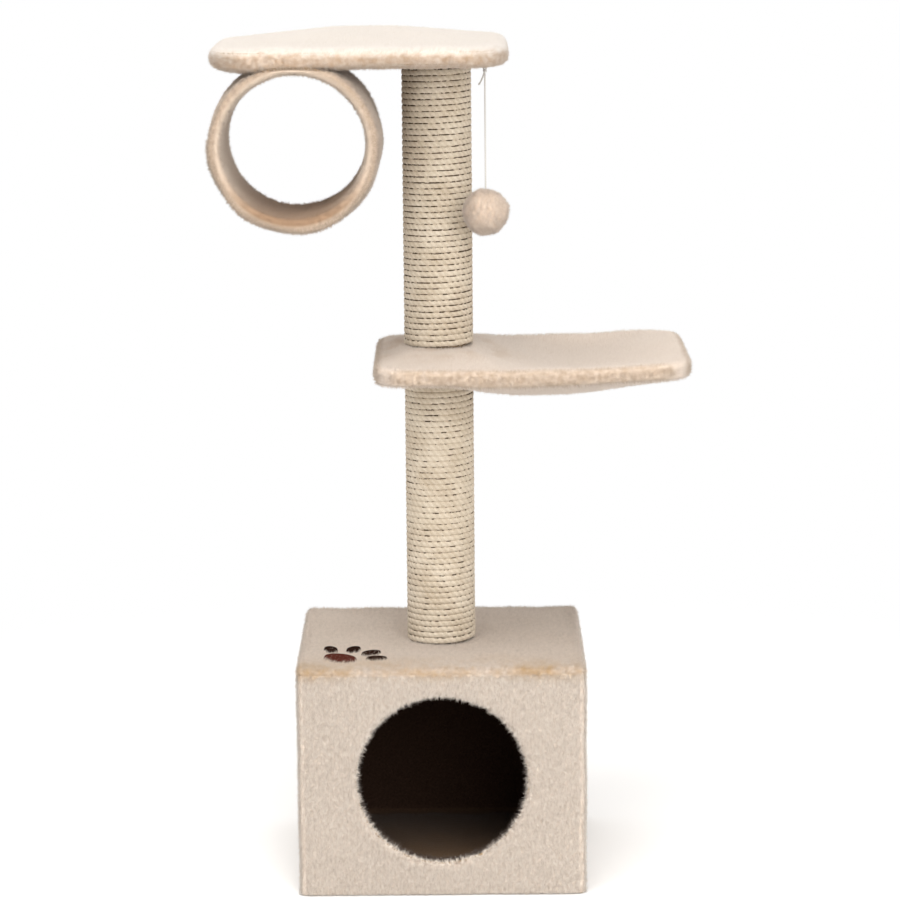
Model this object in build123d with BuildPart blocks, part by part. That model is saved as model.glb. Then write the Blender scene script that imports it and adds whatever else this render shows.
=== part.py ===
"""Cat tree: a plush cave, two sisal posts, a hammock, a platform with a tunnel and a hanging ball.

Frame: X to the hammock side, Y from the front to the back, Z up; the origin is the middle of the
cave's underside, below the axis of the posts. All sizes are in millimetres.
"""
import os
from math import cos, dist, pi, radians, sin, sqrt

from build123d import *

os.makedirs("parts", exist_ok=True)

# Cloth and fits
PILE = 5.5                # plush, backing and pile together
LINING = 3                # thin dark lining cloth
FIT = 0.3                 # free gap between neighbours
POST_FIT = 0.8            # plush round a post
SEAT = 0.1                # gap of a part that is pressed or screwed home

# Cave, measured over the plush
CAVE_WIDTH = 362
CAVE_DEPTH = 335
CAVE_HEIGHT = 293
CAVE_CORNER = 9           # upright edges of the plush
PANEL = 12                # thickness of the cave's panels
ENTRANCE_ABOVE = 40       # plush above the round entrance
ENTRANCE_BELOW = 45       # plush below it
LIP = 4                   # plush turned into the opening
COVER_LIFT = 1.2          # the plush ends this far above the floor

# Paw patch on the cave's roof
PAW_LEFT = 54             # middle of the pad from the left side of the cave
PAW_FRONT = 58.5          # middle of the pad from the front of the cave
PAW_LENGTH = 46           # from the middle of the pad to the middle of each toe
PAD_WIDTH = 38
PAD_LENGTH = 32
TOE_WIDTH = 20
TOE_LENGTH = 26
PAW_TOES = 4
PAW_START = -3            # angle of the first toe
PAW_FAN = 110             # angle from the first toe to the last
PAW_FELT = 1.2

# Posts
POST_LENGTH = 368
TUBE_RADIUS = 36.7
TUBE_WALL = 4
PLUG = 20                 # wooden discs in the tube's ends
ROPE_RADIUS = 3.35
ROPE_SEAT = 0.15          # rope off the tube
ROPE_GAP = 0.7            # between one turn and the next
ROPE_START = 1            # rope above the board the post stands on
ROPE_SPLICE = 22          # degrees between the end of one length and the start of the next

# Bolts, studs and inserts
STUD_RADIUS = 4
INSERT_RADIUS = 5.5
INSERT_FLANGE = 11
FLANGE = 2
GRIP = 16                 # stud length inside an insert
BOLT_HEAD = 13            # across flats
BOLT_HEAD_HEIGHT = 5.3
WASHER_RADIUS = 12
WASHER = 1.6
SMALL_BOLT_RADIUS = 3
SMALL_INSERT_RADIUS = 4
SMALL_HEAD_RADIUS = 6
SMALL_HEAD_HEIGHT = 3.5
SMALL_WASHER_RADIUS = 9

# Wood screws
SCREW_RADIUS = 1.75
SCREW_HEAD = 3.5
SCREW_LENGTH = 35
CLIP_SCREW_LENGTH = 5

# Hammock, measured over the plush
DECK = 15                 # hammock and platform boards
HAMMOCK_LEFT = -81
HAMMOCK_RIGHT = 313
HAMMOCK_DEPTH = 314
HAMMOCK_CORNER = 45
HAMMOCK_JOIN = 78         # where the board ends and the sling starts
HAMMOCK_RIM = 4           # thickness of the board at its edges, from which it slopes up
CROWN_LEFT = -40          # flat middle of the board, under the upper post
CROWN_RIGHT = 44
CROWN_DEPTH = 120
CROWN_CORNER = 20
RIM_SKIN = 1.5            # plush over the edge of the board
BAR_RISE = 8              # far end of the frame above its end at the board
BAR_BEND = 90             # where the frame starts to rise
BAR_RADIUS = 4            # steel frame
SLEEVE = 6.5              # plush rolled round the frame
UNDER_SKIN = 4.5          # cloth under the frame
SLING = 7                 # thickness of the hanging cloth
SLING_SAG = 30
SLING_STATIONS = 6
CLIP_SPOTS = (-15, 55)
CLIP_WIDTH = 12
CLIP_METAL = 0.8
CLIP_FOOT = 20

# Platform, measured over the plush
PLATFORM_LEFT = -277
PLATFORM_RIGHT = 89
PLATFORM_FRONT = -160
PLATFORM_BACK = 168
PLATFORM_CORNERS = (60, 60, 105, 135)   # front left, front right, back right, back left
PLATFORM_EDGE = 9                       # rounding of the plush

# Tunnel
TUNNEL_X = -173
TUNNEL_RADIUS = 100
TUNNEL_WALL = 8
TUNNEL_FRONT = -155
TUNNEL_LENGTH = 158
TUNNEL_BOLTS = 90         # spacing of its two bolts

# Hanging toy
TOY_X = 60
TOY_Y = -80
STAPLE_WIRE = 0.7
STAPLE_WIDTH = 8
STAPLE_DEPTH = 8          # legs inside the board
STAPLE_DROP = 3.8         # crown below the plush
LOOP_RADIUS = 2.4
CORD_RADIUS = 1
KNOT_RADIUS = 2.4
TAIL_LENGTH = 28
BALL_RADIUS = 26.5
BALL_HEIGHT = 851.5       # middle of the ball above the floor
CORD_DEPTH = 18           # cord inside the ball's core

# Heights and radii that follow
ENTRANCE_RADIUS = (CAVE_HEIGHT - ENTRANCE_ABOVE - ENTRANCE_BELOW) / 2
ENTRANCE_HEIGHT = ENTRANCE_BELOW + ENTRANCE_RADIUS
BODY_WIDTH = CAVE_WIDTH - 2 * PILE
BODY_DEPTH = CAVE_DEPTH - 2 * PILE
BODY_HEIGHT = CAVE_HEIGHT - PILE
WALL_HEIGHT = BODY_HEIGHT - 2 * PANEL
INNER_WIDTH = BODY_WIDTH - 2 * PANEL
INNER_DEPTH = BODY_DEPTH - 2 * PANEL
HOLE_RADIUS = ENTRANCE_RADIUS + LIP
ROPE_PITCH = 2 * ROPE_RADIUS + ROPE_GAP
ROPE_ROOM = POST_LENGTH - 2 * ROPE_RADIUS - 4 * ROPE_START
ROPE_TURNS = int(ROPE_ROOM / ROPE_PITCH / 2)   # turns in each of the two lengths of rope on a post
ROPE_CENTRE = TUBE_RADIUS + ROPE_SEAT + ROPE_RADIUS
POST_RADIUS = ROPE_CENTRE + ROPE_RADIUS
BORE = TUBE_RADIUS - TUBE_WALL
LOWER_FOOT = BODY_HEIGHT
HAMMOCK_DECK = LOWER_FOOT + POST_LENGTH
UPPER_FOOT = HAMMOCK_DECK + DECK
PLATFORM_DECK = UPPER_FOOT + POST_LENGTH
PLATFORM_TOP = PLATFORM_DECK + DECK
BAR_HEIGHT = HAMMOCK_DECK - BAR_RADIUS
SLEEVE_RADIUS = BAR_RADIUS + SLEEVE
BAR_SIDE = HAMMOCK_DEPTH / 2 - SLEEVE_RADIUS
TUNNEL_Z = PLATFORM_DECK - TUNNEL_RADIUS
TUNNEL_INNER = TUNNEL_RADIUS - TUNNEL_WALL
TUNNEL_MIDDLE = TUNNEL_FRONT + TUNNEL_LENGTH / 2


def save(piece, name):
    """Label a finished sub-part and write its STEP file."""
    piece.part.label = name
    export_step(piece.part, f"parts/{name}.step")


# Cave panels

SIDE_SPOTS = [
    (x * (BODY_WIDTH - PANEL) / 2, y * BODY_DEPTH * 0.3) for x in (-1, 1) for y in (-1, 1)
]
END_SPOTS = [
    (x * BODY_WIDTH * 0.3, y * (BODY_DEPTH - PANEL) / 2) for x in (-1, 1) for y in (-1, 1)
]
SCREW_SPOTS = SIDE_SPOTS + END_SPOTS
HEAD_CONE = SCREW_HEAD - SCREW_RADIUS


def panel_screw_holes(height, up):
    """Countersunk screw holes through a panel, from its face at a height."""
    turn = (0, 0, 1) if up else (0, 0, -1)
    face = Plane(origin=(0, 0, height), x_dir=(1, 0, 0), z_dir=turn)
    spots = SCREW_SPOTS if up else [(x, -y) for x, y in SCREW_SPOTS]
    with Locations(face):
        with Locations(*spots):
            CounterSinkHole(SCREW_RADIUS + SEAT, SCREW_HEAD + SEAT, counter_sink_angle=90)


with BuildPart() as floor_board:
    with BuildSketch(Plane.XY):
        Rectangle(BODY_WIDTH, BODY_DEPTH)
    extrude(amount=PANEL)
    panel_screw_holes(0, False)
save(floor_board, "cave_floor_board")

with BuildPart() as top_board:
    with BuildSketch(Plane.XY.offset(BODY_HEIGHT - PANEL)):
        Rectangle(BODY_WIDTH, BODY_DEPTH)
        Circle(STUD_RADIUS + FIT, mode=Mode.SUBTRACT)
    extrude(amount=PANEL)
    panel_screw_holes(BODY_HEIGHT, True)
save(top_board, "cave_top_board")


def wall_holes(spots):
    """Pilot holes for the panel screws in the upper and lower edges of a wall."""
    depth = SCREW_LENGTH - PANEL + FIT
    for level in (PANEL, BODY_HEIGHT - PANEL - depth):
        with BuildSketch(Plane.XY.offset(level)) as holes:
            with Locations(*spots):
                Circle(SCREW_RADIUS + SEAT)
        extrude(holes.sketch, amount=depth, mode=Mode.SUBTRACT)


for side, name in ((-1, "cave_left_wall"), (1, "cave_right_wall")):
    with BuildPart() as side_wall:
        with BuildSketch(Plane.XY.offset(PANEL)):
            with Locations((side * (BODY_WIDTH - PANEL) / 2, 0)):
                Rectangle(PANEL, BODY_DEPTH)
        extrude(amount=WALL_HEIGHT)
        wall_holes([spot for spot in SIDE_SPOTS if spot[0] * side > 0])
    save(side_wall, name)

with BuildPart() as back_wall:
    with BuildSketch(Plane.XY.offset(PANEL)):
        with Locations((0, (BODY_DEPTH - PANEL) / 2)):
            Rectangle(INNER_WIDTH, PANEL)
    extrude(amount=WALL_HEIGHT)
    wall_holes([spot for spot in END_SPOTS if spot[1] > 0])
save(back_wall, "cave_back_wall")

with BuildPart() as front_wall:
    with BuildSketch(Plane.XZ.offset(INNER_DEPTH / 2)):
        with Locations((0, PANEL + WALL_HEIGHT / 2)):
            Rectangle(INNER_WIDTH, WALL_HEIGHT)
        with Locations((0, ENTRANCE_HEIGHT)):
            Circle(HOLE_RADIUS, mode=Mode.SUBTRACT)
    extrude(amount=PANEL)
    wall_holes([spot for spot in END_SPOTS if spot[1] < 0])
save(front_wall, "cave_front_wall")

with BuildPart() as panel_screws:
    for level, way in ((BODY_HEIGHT, -1), (0, 1)):
        for x, y in SCREW_SPOTS:
            with BuildSketch(Plane(origin=(x, y, level), x_dir=(1, 0, 0), z_dir=(0, -way, 0))):
                with BuildLine():
                    Polyline(
                        (0, 0),
                        (SCREW_HEAD, 0),
                        (SCREW_RADIUS, HEAD_CONE),
                        (SCREW_RADIUS, SCREW_LENGTH - 4),
                        (0, SCREW_LENGTH),
                        close=True,
                    )
                make_face()
            revolve(axis=Axis((x, y, 0), (0, 0, 1)))
save(panel_screws, "cave_panel_screws")

# Cave cloth

with BuildPart() as side_cover:
    with BuildSketch(Plane.XY.offset(COVER_LIFT)):
        RectangleRounded(CAVE_WIDTH, CAVE_DEPTH, CAVE_CORNER)
        Rectangle(BODY_WIDTH, BODY_DEPTH, mode=Mode.SUBTRACT)
    extrude(amount=BODY_HEIGHT - COVER_LIFT)
    # Entrance with its turned-in lip
    with BuildSketch(Plane.XZ.offset(BODY_DEPTH / 2)):
        with Locations((0, ENTRANCE_HEIGHT)):
            Circle(ENTRANCE_RADIUS)
    extrude(amount=PILE, mode=Mode.SUBTRACT)
    with BuildSketch(Plane.XZ.offset(INNER_DEPTH / 2)):
        with Locations((0, ENTRANCE_HEIGHT)):
            Circle(HOLE_RADIUS)
            Circle(ENTRANCE_RADIUS, mode=Mode.SUBTRACT)
    extrude(amount=PANEL)
    rim = side_cover.edges().filter_by(GeomType.CIRCLE).sort_by(Axis.Y)[0]
    fillet(rim, LIP)
save(side_cover, "cave_side_cover")

with BuildPart() as top_cover:
    with BuildSketch(Plane.XY.offset(BODY_HEIGHT)):
        RectangleRounded(CAVE_WIDTH, CAVE_DEPTH, CAVE_CORNER)
    extrude(amount=PILE)
    fillet(top_cover.faces().sort_by(Axis.Z)[-1].edges(), PILE - 1)
    with BuildSketch(Plane.XY.offset(BODY_HEIGHT)):
        Circle(POST_RADIUS + POST_FIT)
    extrude(amount=PILE, mode=Mode.SUBTRACT)
save(top_cover, "cave_top_cover")

with BuildPart() as lining:
    with BuildSketch(Plane.XY.offset(PANEL)):
        Rectangle(INNER_WIDTH, INNER_DEPTH)
    extrude(amount=WALL_HEIGHT)
    with BuildSketch(Plane.XY.offset(PANEL + LINING)):
        Rectangle(INNER_WIDTH - 2 * LINING, INNER_DEPTH - 2 * LINING)
    extrude(amount=WALL_HEIGHT - 2 * LINING, mode=Mode.SUBTRACT)
    with BuildSketch(Plane.XZ.offset(INNER_DEPTH / 2 - LINING)):
        with Locations((0, ENTRANCE_HEIGHT)):
            Circle(ENTRANCE_RADIUS)
    extrude(amount=LINING, mode=Mode.SUBTRACT)
    with BuildSketch(Plane.XY.offset(PANEL + WALL_HEIGHT - LINING)):
        Circle(WASHER_RADIUS + FIT)
    extrude(amount=LINING, mode=Mode.SUBTRACT)
save(lining, "cave_lining")

with BuildPart() as paw:
    with BuildSketch(Plane.XY.offset(CAVE_HEIGHT)):
        with Locations((PAW_LEFT - CAVE_WIDTH / 2, PAW_FRONT - CAVE_DEPTH / 2)):
            with Locations(Rotation(0, 0, PAW_START + PAW_FAN / 2)):
                Ellipse(PAD_LENGTH / 2, PAD_WIDTH / 2)
            with PolarLocations(PAW_LENGTH, PAW_TOES, PAW_START, PAW_FAN, endpoint=True):
                Ellipse(TOE_LENGTH / 2, TOE_WIDTH / 2)
    extrude(amount=PAW_FELT)
save(paw, "cave_paw_patch")

# Posts


def winding_points(foot, start, turns, steps):
    """Points and directions on a helix round the post from a start angle, so many steps to a turn."""
    rise = ROPE_PITCH / (2 * pi)
    length = sqrt(ROPE_CENTRE ** 2 + rise ** 2)
    points = []
    for index in range(turns * steps + 1):
        angle = radians(start) + 2 * pi * index / steps
        point = Vector(ROPE_CENTRE * cos(angle), ROPE_CENTRE * sin(angle), foot + rise * angle)
        way = Vector(-ROPE_CENTRE * sin(angle), ROPE_CENTRE * cos(angle), rise) / length
        points.append((point, way))
    return points


def biarc(start, start_way, end, end_way):
    """Two arcs that leave a point in one direction and reach another in its own direction."""
    chord = end - start
    both = start_way + end_way
    turn = 2 * (1 - start_way.dot(end_way))
    reach = (sqrt(chord.dot(both) ** 2 + turn * chord.dot(chord)) - chord.dot(both)) / turn
    first = start + start_way * reach
    second = end - end_way * reach
    middle = (first + second) / 2
    TangentArc(start, middle, tangent=start_way)
    TangentArc(middle, end, tangent=(second - first).normalized())


def self_gap(foot):
    """Least gap between one turn of rope and the next, on points of the helix."""
    points = [tuple(point) for point, way in winding_points(foot, 0, 3, 72)]
    centres = [dist(a, b) for i, a in enumerate(points) for b in points[i + 36:]]
    return min(centres) - 2 * ROPE_RADIUS


def post_insert(level, way):
    """Threaded insert: a barrel in the plug and a flange on the plug's inner face."""
    with BuildSketch(Plane(origin=(0, 0, level), x_dir=(1, 0, 0), z_dir=(0, -way, 0))) as half:
        with BuildLine():
            Polyline(
                (STUD_RADIUS + SEAT, FLANGE),
                (INSERT_RADIUS, FLANGE),
                (INSERT_RADIUS, PLUG),
                (INSERT_FLANGE, PLUG),
                (INSERT_FLANGE, PLUG + FLANGE),
                (STUD_RADIUS + SEAT, PLUG + FLANGE),
                close=True,
            )
        make_face()
    revolve(half.sketch, axis=Axis.Z)


def make_post(post, foot):
    """One scratching post: tube, end plugs and the rope, wound on in two lengths."""
    head = foot + POST_LENGTH
    with BuildPart() as tube:
        with BuildSketch(Plane.XY.offset(foot)):
            Circle(TUBE_RADIUS)
            Circle(BORE, mode=Mode.SUBTRACT)
        extrude(amount=POST_LENGTH)
    save(tube, f"{post}_post_tube")

    for name, level in (("foot", foot), ("head", head - PLUG)):
        with BuildPart() as plug:
            with BuildSketch(Plane.XY.offset(level)):
                Circle(BORE - SEAT)
                Circle(INSERT_RADIUS + SEAT, mode=Mode.SUBTRACT)
            extrude(amount=PLUG)
        save(plug, f"{post}_post_{name}_plug")

    first_turn = foot + ROPE_START + ROPE_RADIUS
    run = 2 * ROPE_RADIUS
    for name, start in (("low", 0), ("high", 360 * ROPE_TURNS + ROPE_SPLICE)):
        points = winding_points(first_turn, start, ROPE_TURNS, 4)
        with BuildPart() as rope:
            with BuildLine() as route:
                Line(points[0][0] - points[0][1] * run, points[0][0])
                for (near, near_way), (far, far_way) in zip(points, points[1:]):
                    biarc(near, near_way, far, far_way)
                Line(points[-1][0], points[-1][0] + points[-1][1] * run)
            tip = Plane(origin=route.line @ 0, x_dir=(0, 0, 1), z_dir=route.line % 0)
            with BuildSketch(tip):
                RegularPolygon(ROPE_RADIUS, 6)
            sweep()
        save(rope, f"{post}_post_rope_{name}")


print("least gap between rope turns", round(self_gap(0), 3), "mm")
make_post("lower", LOWER_FOOT)
make_post("upper", UPPER_FOOT)

with BuildPart() as post_inserts:
    for foot in (LOWER_FOOT, UPPER_FOOT):
        post_insert(foot, 1)
        post_insert(foot + POST_LENGTH, -1)
save(post_inserts, "post_inserts")

# Bolts and studs on the axis of the posts

with BuildPart() as base_bolt:
    with BuildSketch(Plane.XY.offset(BODY_HEIGHT - PANEL - WASHER - BOLT_HEAD_HEIGHT)):
        RegularPolygon(BOLT_HEAD / 2, 6, major_radius=False)
    extrude(amount=BOLT_HEAD_HEIGHT)
    with BuildSketch(Plane.XY.offset(BODY_HEIGHT - PANEL - WASHER)):
        Circle(STUD_RADIUS)
    extrude(amount=WASHER + PANEL + GRIP)
save(base_bolt, "base_bolt")

with BuildPart() as base_washer:
    with BuildSketch(Plane.XY.offset(BODY_HEIGHT - PANEL - WASHER)):
        Circle(WASHER_RADIUS)
        Circle(STUD_RADIUS + FIT, mode=Mode.SUBTRACT)
    extrude(amount=WASHER)
save(base_washer, "base_washer")

with BuildPart() as joining_stud:
    with BuildSketch(Plane.XY.offset(HAMMOCK_DECK - GRIP)):
        Circle(STUD_RADIUS)
    extrude(amount=DECK + 2 * GRIP)
save(joining_stud, "joining_stud")

with BuildPart() as top_stud:
    with BuildSketch(Plane.XY.offset(PLATFORM_DECK - GRIP)):
        Circle(STUD_RADIUS)
    extrude(amount=GRIP + DECK - FLANGE)
save(top_stud, "top_stud")

# Hammock


def end_outline(left, right, half, corner):
    """Outline in plan with two round corners on the left and a square end on the right."""
    with BuildSketch() as outline:
        with BuildLine():
            FilletPolyline((right, -half), (left, -half), (left, half), (right, half), radius=corner)
            Line((right, half), (right, -half))
        make_face()
    return outline.sketch


def deck_outline(grow):
    """Outline of the hammock board, grown by the plush."""
    left = HAMMOCK_LEFT + PILE - grow
    half = HAMMOCK_DEPTH / 2 - PILE + grow
    return end_outline(left, HAMMOCK_JOIN, half, HAMMOCK_CORNER - PILE + grow)


def crown_outline(grow):
    """Outline of the flat middle of the board, grown by the plush."""
    return end_outline(CROWN_LEFT - grow, CROWN_RIGHT + grow, CROWN_DEPTH / 2 + grow, CROWN_CORNER + grow)


def deck_slope(grow, low, high, mode):
    """The part of the board or its cover that slopes up from the rim to the flat middle."""
    with BuildSketch(Plane.XY.offset(low)) as rim:
        add(deck_outline(grow))
    with BuildSketch(Plane.XY.offset(high)) as crown:
        add(crown_outline(grow))
    loft([rim.sketch.face(), crown.sketch.face()], ruled=True, mode=mode)


CLIPS = [(x, side) for x in CLIP_SPOTS for side in (-1, 1)]
SCREW_INSET = BAR_RADIUS + 10
DECK_RIM = HAMMOCK_DECK + HAMMOCK_RIM

with BuildPart() as hammock_board:
    with BuildSketch(Plane.XY.offset(HAMMOCK_DECK)):
        add(deck_outline(0))
    extrude(amount=HAMMOCK_RIM)
    deck_slope(0, DECK_RIM, UPPER_FOOT, Mode.ADD)
    with BuildSketch(Plane.XY.offset(HAMMOCK_DECK)):
        Circle(STUD_RADIUS + FIT)
    extrude(amount=DECK, mode=Mode.SUBTRACT)
    with BuildSketch(Plane.XY.offset(HAMMOCK_DECK)):
        with Locations(*[(x, side * (BAR_SIDE - SCREW_INSET)) for x, side in CLIPS]):
            Circle(SCREW_RADIUS + SEAT)
    extrude(amount=CLIP_SCREW_LENGTH + FIT, mode=Mode.SUBTRACT)
save(hammock_board, "hammock_board")

BAR_LEFT = HAMMOCK_LEFT + SLEEVE_RADIUS
BAR_RIGHT = HAMMOCK_RIGHT - SLEEVE_RADIUS
BAR_CORNER = HAMMOCK_CORNER


def bar_level(x):
    """Height of the frame: level under the board, then rising to the far end."""
    return BAR_HEIGHT + BAR_RISE * max(0, x - BAR_BEND) / (BAR_RIGHT - BAR_BEND)


with BuildPart() as hammock_frame:
    with BuildLine() as loop:
        FilletPolyline(
            (0, -BAR_SIDE, BAR_HEIGHT),
            (BAR_BEND, -BAR_SIDE, BAR_HEIGHT),
            (BAR_RIGHT, -BAR_SIDE, bar_level(BAR_RIGHT)),
            (BAR_RIGHT, BAR_SIDE, bar_level(BAR_RIGHT)),
            (BAR_BEND, BAR_SIDE, BAR_HEIGHT),
            (BAR_LEFT, BAR_SIDE, BAR_HEIGHT),
            (BAR_LEFT, -BAR_SIDE, BAR_HEIGHT),
            (0, -BAR_SIDE, BAR_HEIGHT),
            radius=(0, *[BAR_CORNER] * 6),
        )
    with BuildSketch(Plane(origin=(0, -BAR_SIDE, BAR_HEIGHT), z_dir=(1, 0, 0))):
        Circle(BAR_RADIUS)
    sweep()
save(hammock_frame, "hammock_frame")

with BuildPart() as frame_clips:
    for x, side in CLIPS:
        middle = side * BAR_SIDE
        strap = BAR_RADIUS + SEAT + CLIP_METAL
        with BuildSketch(Plane(origin=(x - CLIP_WIDTH / 2, 0, 0), x_dir=(0, 1, 0), z_dir=(1, 0, 0))):
            with Locations((middle, BAR_HEIGHT)):
                Circle(strap)
            with Locations((middle - side * CLIP_FOOT / 2, HAMMOCK_DECK - CLIP_METAL / 2)):
                Rectangle(CLIP_FOOT, CLIP_METAL)
            with Locations((middle, BAR_HEIGHT)):
                Circle(BAR_RADIUS + SEAT, mode=Mode.SUBTRACT)
            with Locations((middle, HAMMOCK_DECK + strap)):
                Rectangle(4 * strap, 2 * strap, mode=Mode.SUBTRACT)
        extrude(amount=CLIP_WIDTH)
    with BuildSketch(Plane.XY.offset(HAMMOCK_DECK - CLIP_METAL)):
        with Locations(*[(x, side * (BAR_SIDE - SCREW_INSET)) for x, side in CLIPS]):
            Circle(SCREW_RADIUS + SEAT)
    extrude(amount=CLIP_METAL, mode=Mode.SUBTRACT)
save(frame_clips, "hammock_frame_clips")

with BuildPart() as clip_screws:
    with BuildSketch(Plane.XY.offset(HAMMOCK_DECK - CLIP_METAL)):
        with Locations(*[(x, side * (BAR_SIDE - SCREW_INSET)) for x, side in CLIPS]):
            Circle(SCREW_HEAD)
    extrude(amount=-2)
    with BuildSketch(Plane.XY.offset(HAMMOCK_DECK - CLIP_METAL)):
        with Locations(*[(x, side * (BAR_SIDE - SCREW_INSET)) for x, side in CLIPS]):
            Circle(SCREW_RADIUS)
    extrude(amount=CLIP_METAL + CLIP_SCREW_LENGTH)
save(clip_screws, "hammock_clip_screws")

COVER_BOTTOM = BAR_HEIGHT - SLEEVE_RADIUS + 0.5
COVER_RIM = DECK_RIM + RIM_SKIN
COVER_TOP = UPPER_FOOT + PILE

with BuildPart() as deck_cover:
    with BuildSketch(Plane.XY.offset(COVER_BOTTOM)):
        add(deck_outline(PILE))
    extrude(amount=COVER_RIM - COVER_BOTTOM)
    rims = deck_cover.edges().filter_by(lambda edge: edge.center().X < HAMMOCK_JOIN - 1)
    fillet(rims.group_by(Axis.Z)[0], 8)
    deck_slope(PILE, COVER_RIM, COVER_TOP, Mode.ADD)
    with BuildSketch(Plane.XY.offset(COVER_BOTTOM + UNDER_SKIN)):
        add(deck_outline(0))
    extrude(amount=DECK_RIM - COVER_BOTTOM - UNDER_SKIN, mode=Mode.SUBTRACT)
    deck_slope(0, DECK_RIM, UPPER_FOOT, Mode.SUBTRACT)
    with BuildSketch(Plane.XY.offset(COVER_BOTTOM)):
        Circle(POST_RADIUS + POST_FIT)
    extrude(amount=COVER_TOP - COVER_BOTTOM, mode=Mode.SUBTRACT)
save(deck_cover, "hammock_board_cover")


def sling_sag(share):
    """Sag of the sling at a share of its length from the board to the far end."""
    return 2 + (SLING_SAG - 2) * sin(pi * share ** 0.75)


SLING_START = HAMMOCK_JOIN + FIT


def sleeve_route():
    """Route of the frame inside the sling, from the board round the far end and back."""
    with BuildLine() as route:
        FilletPolyline(
            (SLING_START, -BAR_SIDE, BAR_HEIGHT),
            (BAR_BEND, -BAR_SIDE, BAR_HEIGHT),
            (BAR_RIGHT, -BAR_SIDE, bar_level(BAR_RIGHT)),
            (BAR_RIGHT, BAR_SIDE, bar_level(BAR_RIGHT)),
            (BAR_BEND, BAR_SIDE, BAR_HEIGHT),
            (SLING_START, BAR_SIDE, BAR_HEIGHT),
            radius=BAR_CORNER,
        )
    return route.line


with BuildPart() as sling:
    # Hanging cloth, hollowed between the board and the far end
    for step in range(SLING_STATIONS):
        share = step / (SLING_STATIONS - 1)
        x = SLING_START + (BAR_RIGHT - SLING_START) * share
        sag = sling_sag(share)
        side = BAR_SIDE if share < 0.9 else BAR_SIDE - BAR_CORNER
        with BuildSketch(Plane(origin=(x, 0, bar_level(x)), x_dir=(0, 1, 0), z_dir=(1, 0, 0))):
            with BuildLine():
                top = ThreePointArc((-side, SLING / 2), (0, SLING / 2 - sag), (side, SLING / 2))
                low = ThreePointArc((-side, -SLING / 2), (0, -SLING / 2 - sag), (side, -SLING / 2))
                Line(top @ 0, low @ 0)
                Line(top @ 1, low @ 1)
            make_face()
    loft()
    # Sleeve round the frame
    with BuildSketch(Plane(origin=(SLING_START, -BAR_SIDE, BAR_HEIGHT), z_dir=(1, 0, 0))):
        Circle(SLEEVE_RADIUS)
    sweep(path=sleeve_route())
    with BuildSketch(Plane(origin=(SLING_START, -BAR_SIDE, BAR_HEIGHT), z_dir=(1, 0, 0))):
        Circle(BAR_RADIUS + SEAT)
    sweep(path=sleeve_route(), mode=Mode.SUBTRACT)
save(sling, "hammock_sling")

# Platform


def platform_outline(grow):
    """Outline of the platform board, grown by the plush."""
    left = PLATFORM_LEFT + PILE - grow
    right = PLATFORM_RIGHT - PILE + grow
    front = PLATFORM_FRONT + PILE - grow
    back = PLATFORM_BACK - PILE + grow
    with BuildSketch() as outline:
        with BuildLine():
            FilletPolyline(
                (left, front),
                (right, front),
                (right, back),
                (left, back),
                radius=[corner - PILE + grow for corner in PLATFORM_CORNERS],
                close=True,
            )
        make_face()
    return outline.sketch


BOLT_SPOTS = [
    (TUNNEL_X, TUNNEL_MIDDLE - TUNNEL_BOLTS / 2),
    (TUNNEL_X, TUNNEL_MIDDLE + TUNNEL_BOLTS / 2),
]
TOY = Plane(origin=(TOY_X, TOY_Y, PLATFORM_DECK), x_dir=(-TOY_Y, TOY_X, 0), z_dir=(0, 0, 1))
STAPLE_SPOTS = [TOY.from_local_coords(Vector(x * STAPLE_WIDTH / 2, 0, 0)) for x in (-1, 1)]
STAPLE_XY = [(spot.X, spot.Y) for spot in STAPLE_SPOTS]

with BuildPart() as platform_board:
    with BuildSketch(Plane.XY.offset(PLATFORM_DECK)):
        add(platform_outline(0))
    extrude(amount=DECK)
    with BuildSketch(Plane.XY.offset(PLATFORM_DECK)):
        Circle(INSERT_RADIUS + SEAT)
        with Locations(*BOLT_SPOTS):
            Circle(SMALL_INSERT_RADIUS + SEAT)
    extrude(amount=DECK, mode=Mode.SUBTRACT)
    with BuildSketch(Plane.XY.offset(PLATFORM_TOP - FLANGE)):
        with Locations((0, 0), *BOLT_SPOTS):
            Circle(INSERT_FLANGE + SEAT)
    extrude(amount=FLANGE, mode=Mode.SUBTRACT)
    with BuildSketch(Plane.XY.offset(PLATFORM_DECK)):
        with Locations(*STAPLE_XY):
            Circle(STAPLE_WIRE + SEAT)
    extrude(amount=STAPLE_DEPTH + FIT, mode=Mode.SUBTRACT)
save(platform_board, "platform_board")


def tee_nut(bolt_radius, barrel_radius):
    """Tee nut let into the top of the platform board."""
    with BuildSketch(Plane.XY.offset(PLATFORM_TOP - FLANGE)) as flange:
        Circle(INSERT_FLANGE)
        Circle(bolt_radius + SEAT, mode=Mode.SUBTRACT)
    extrude(flange.sketch, amount=FLANGE)
    with BuildSketch(Plane.XY.offset(PLATFORM_DECK + FLANGE)) as barrel:
        Circle(barrel_radius)
        Circle(bolt_radius + SEAT, mode=Mode.SUBTRACT)
    extrude(barrel.sketch, amount=DECK - 2 * FLANGE)


with BuildPart() as post_nut:
    tee_nut(STUD_RADIUS, INSERT_RADIUS)
save(post_nut, "platform_post_nut")

with BuildPart() as one_nut:
    tee_nut(SMALL_BOLT_RADIUS, SMALL_INSERT_RADIUS)
with BuildPart() as tunnel_nuts:
    with Locations(*BOLT_SPOTS):
        add(one_nut.part)
save(tunnel_nuts, "platform_tunnel_nuts")

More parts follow.
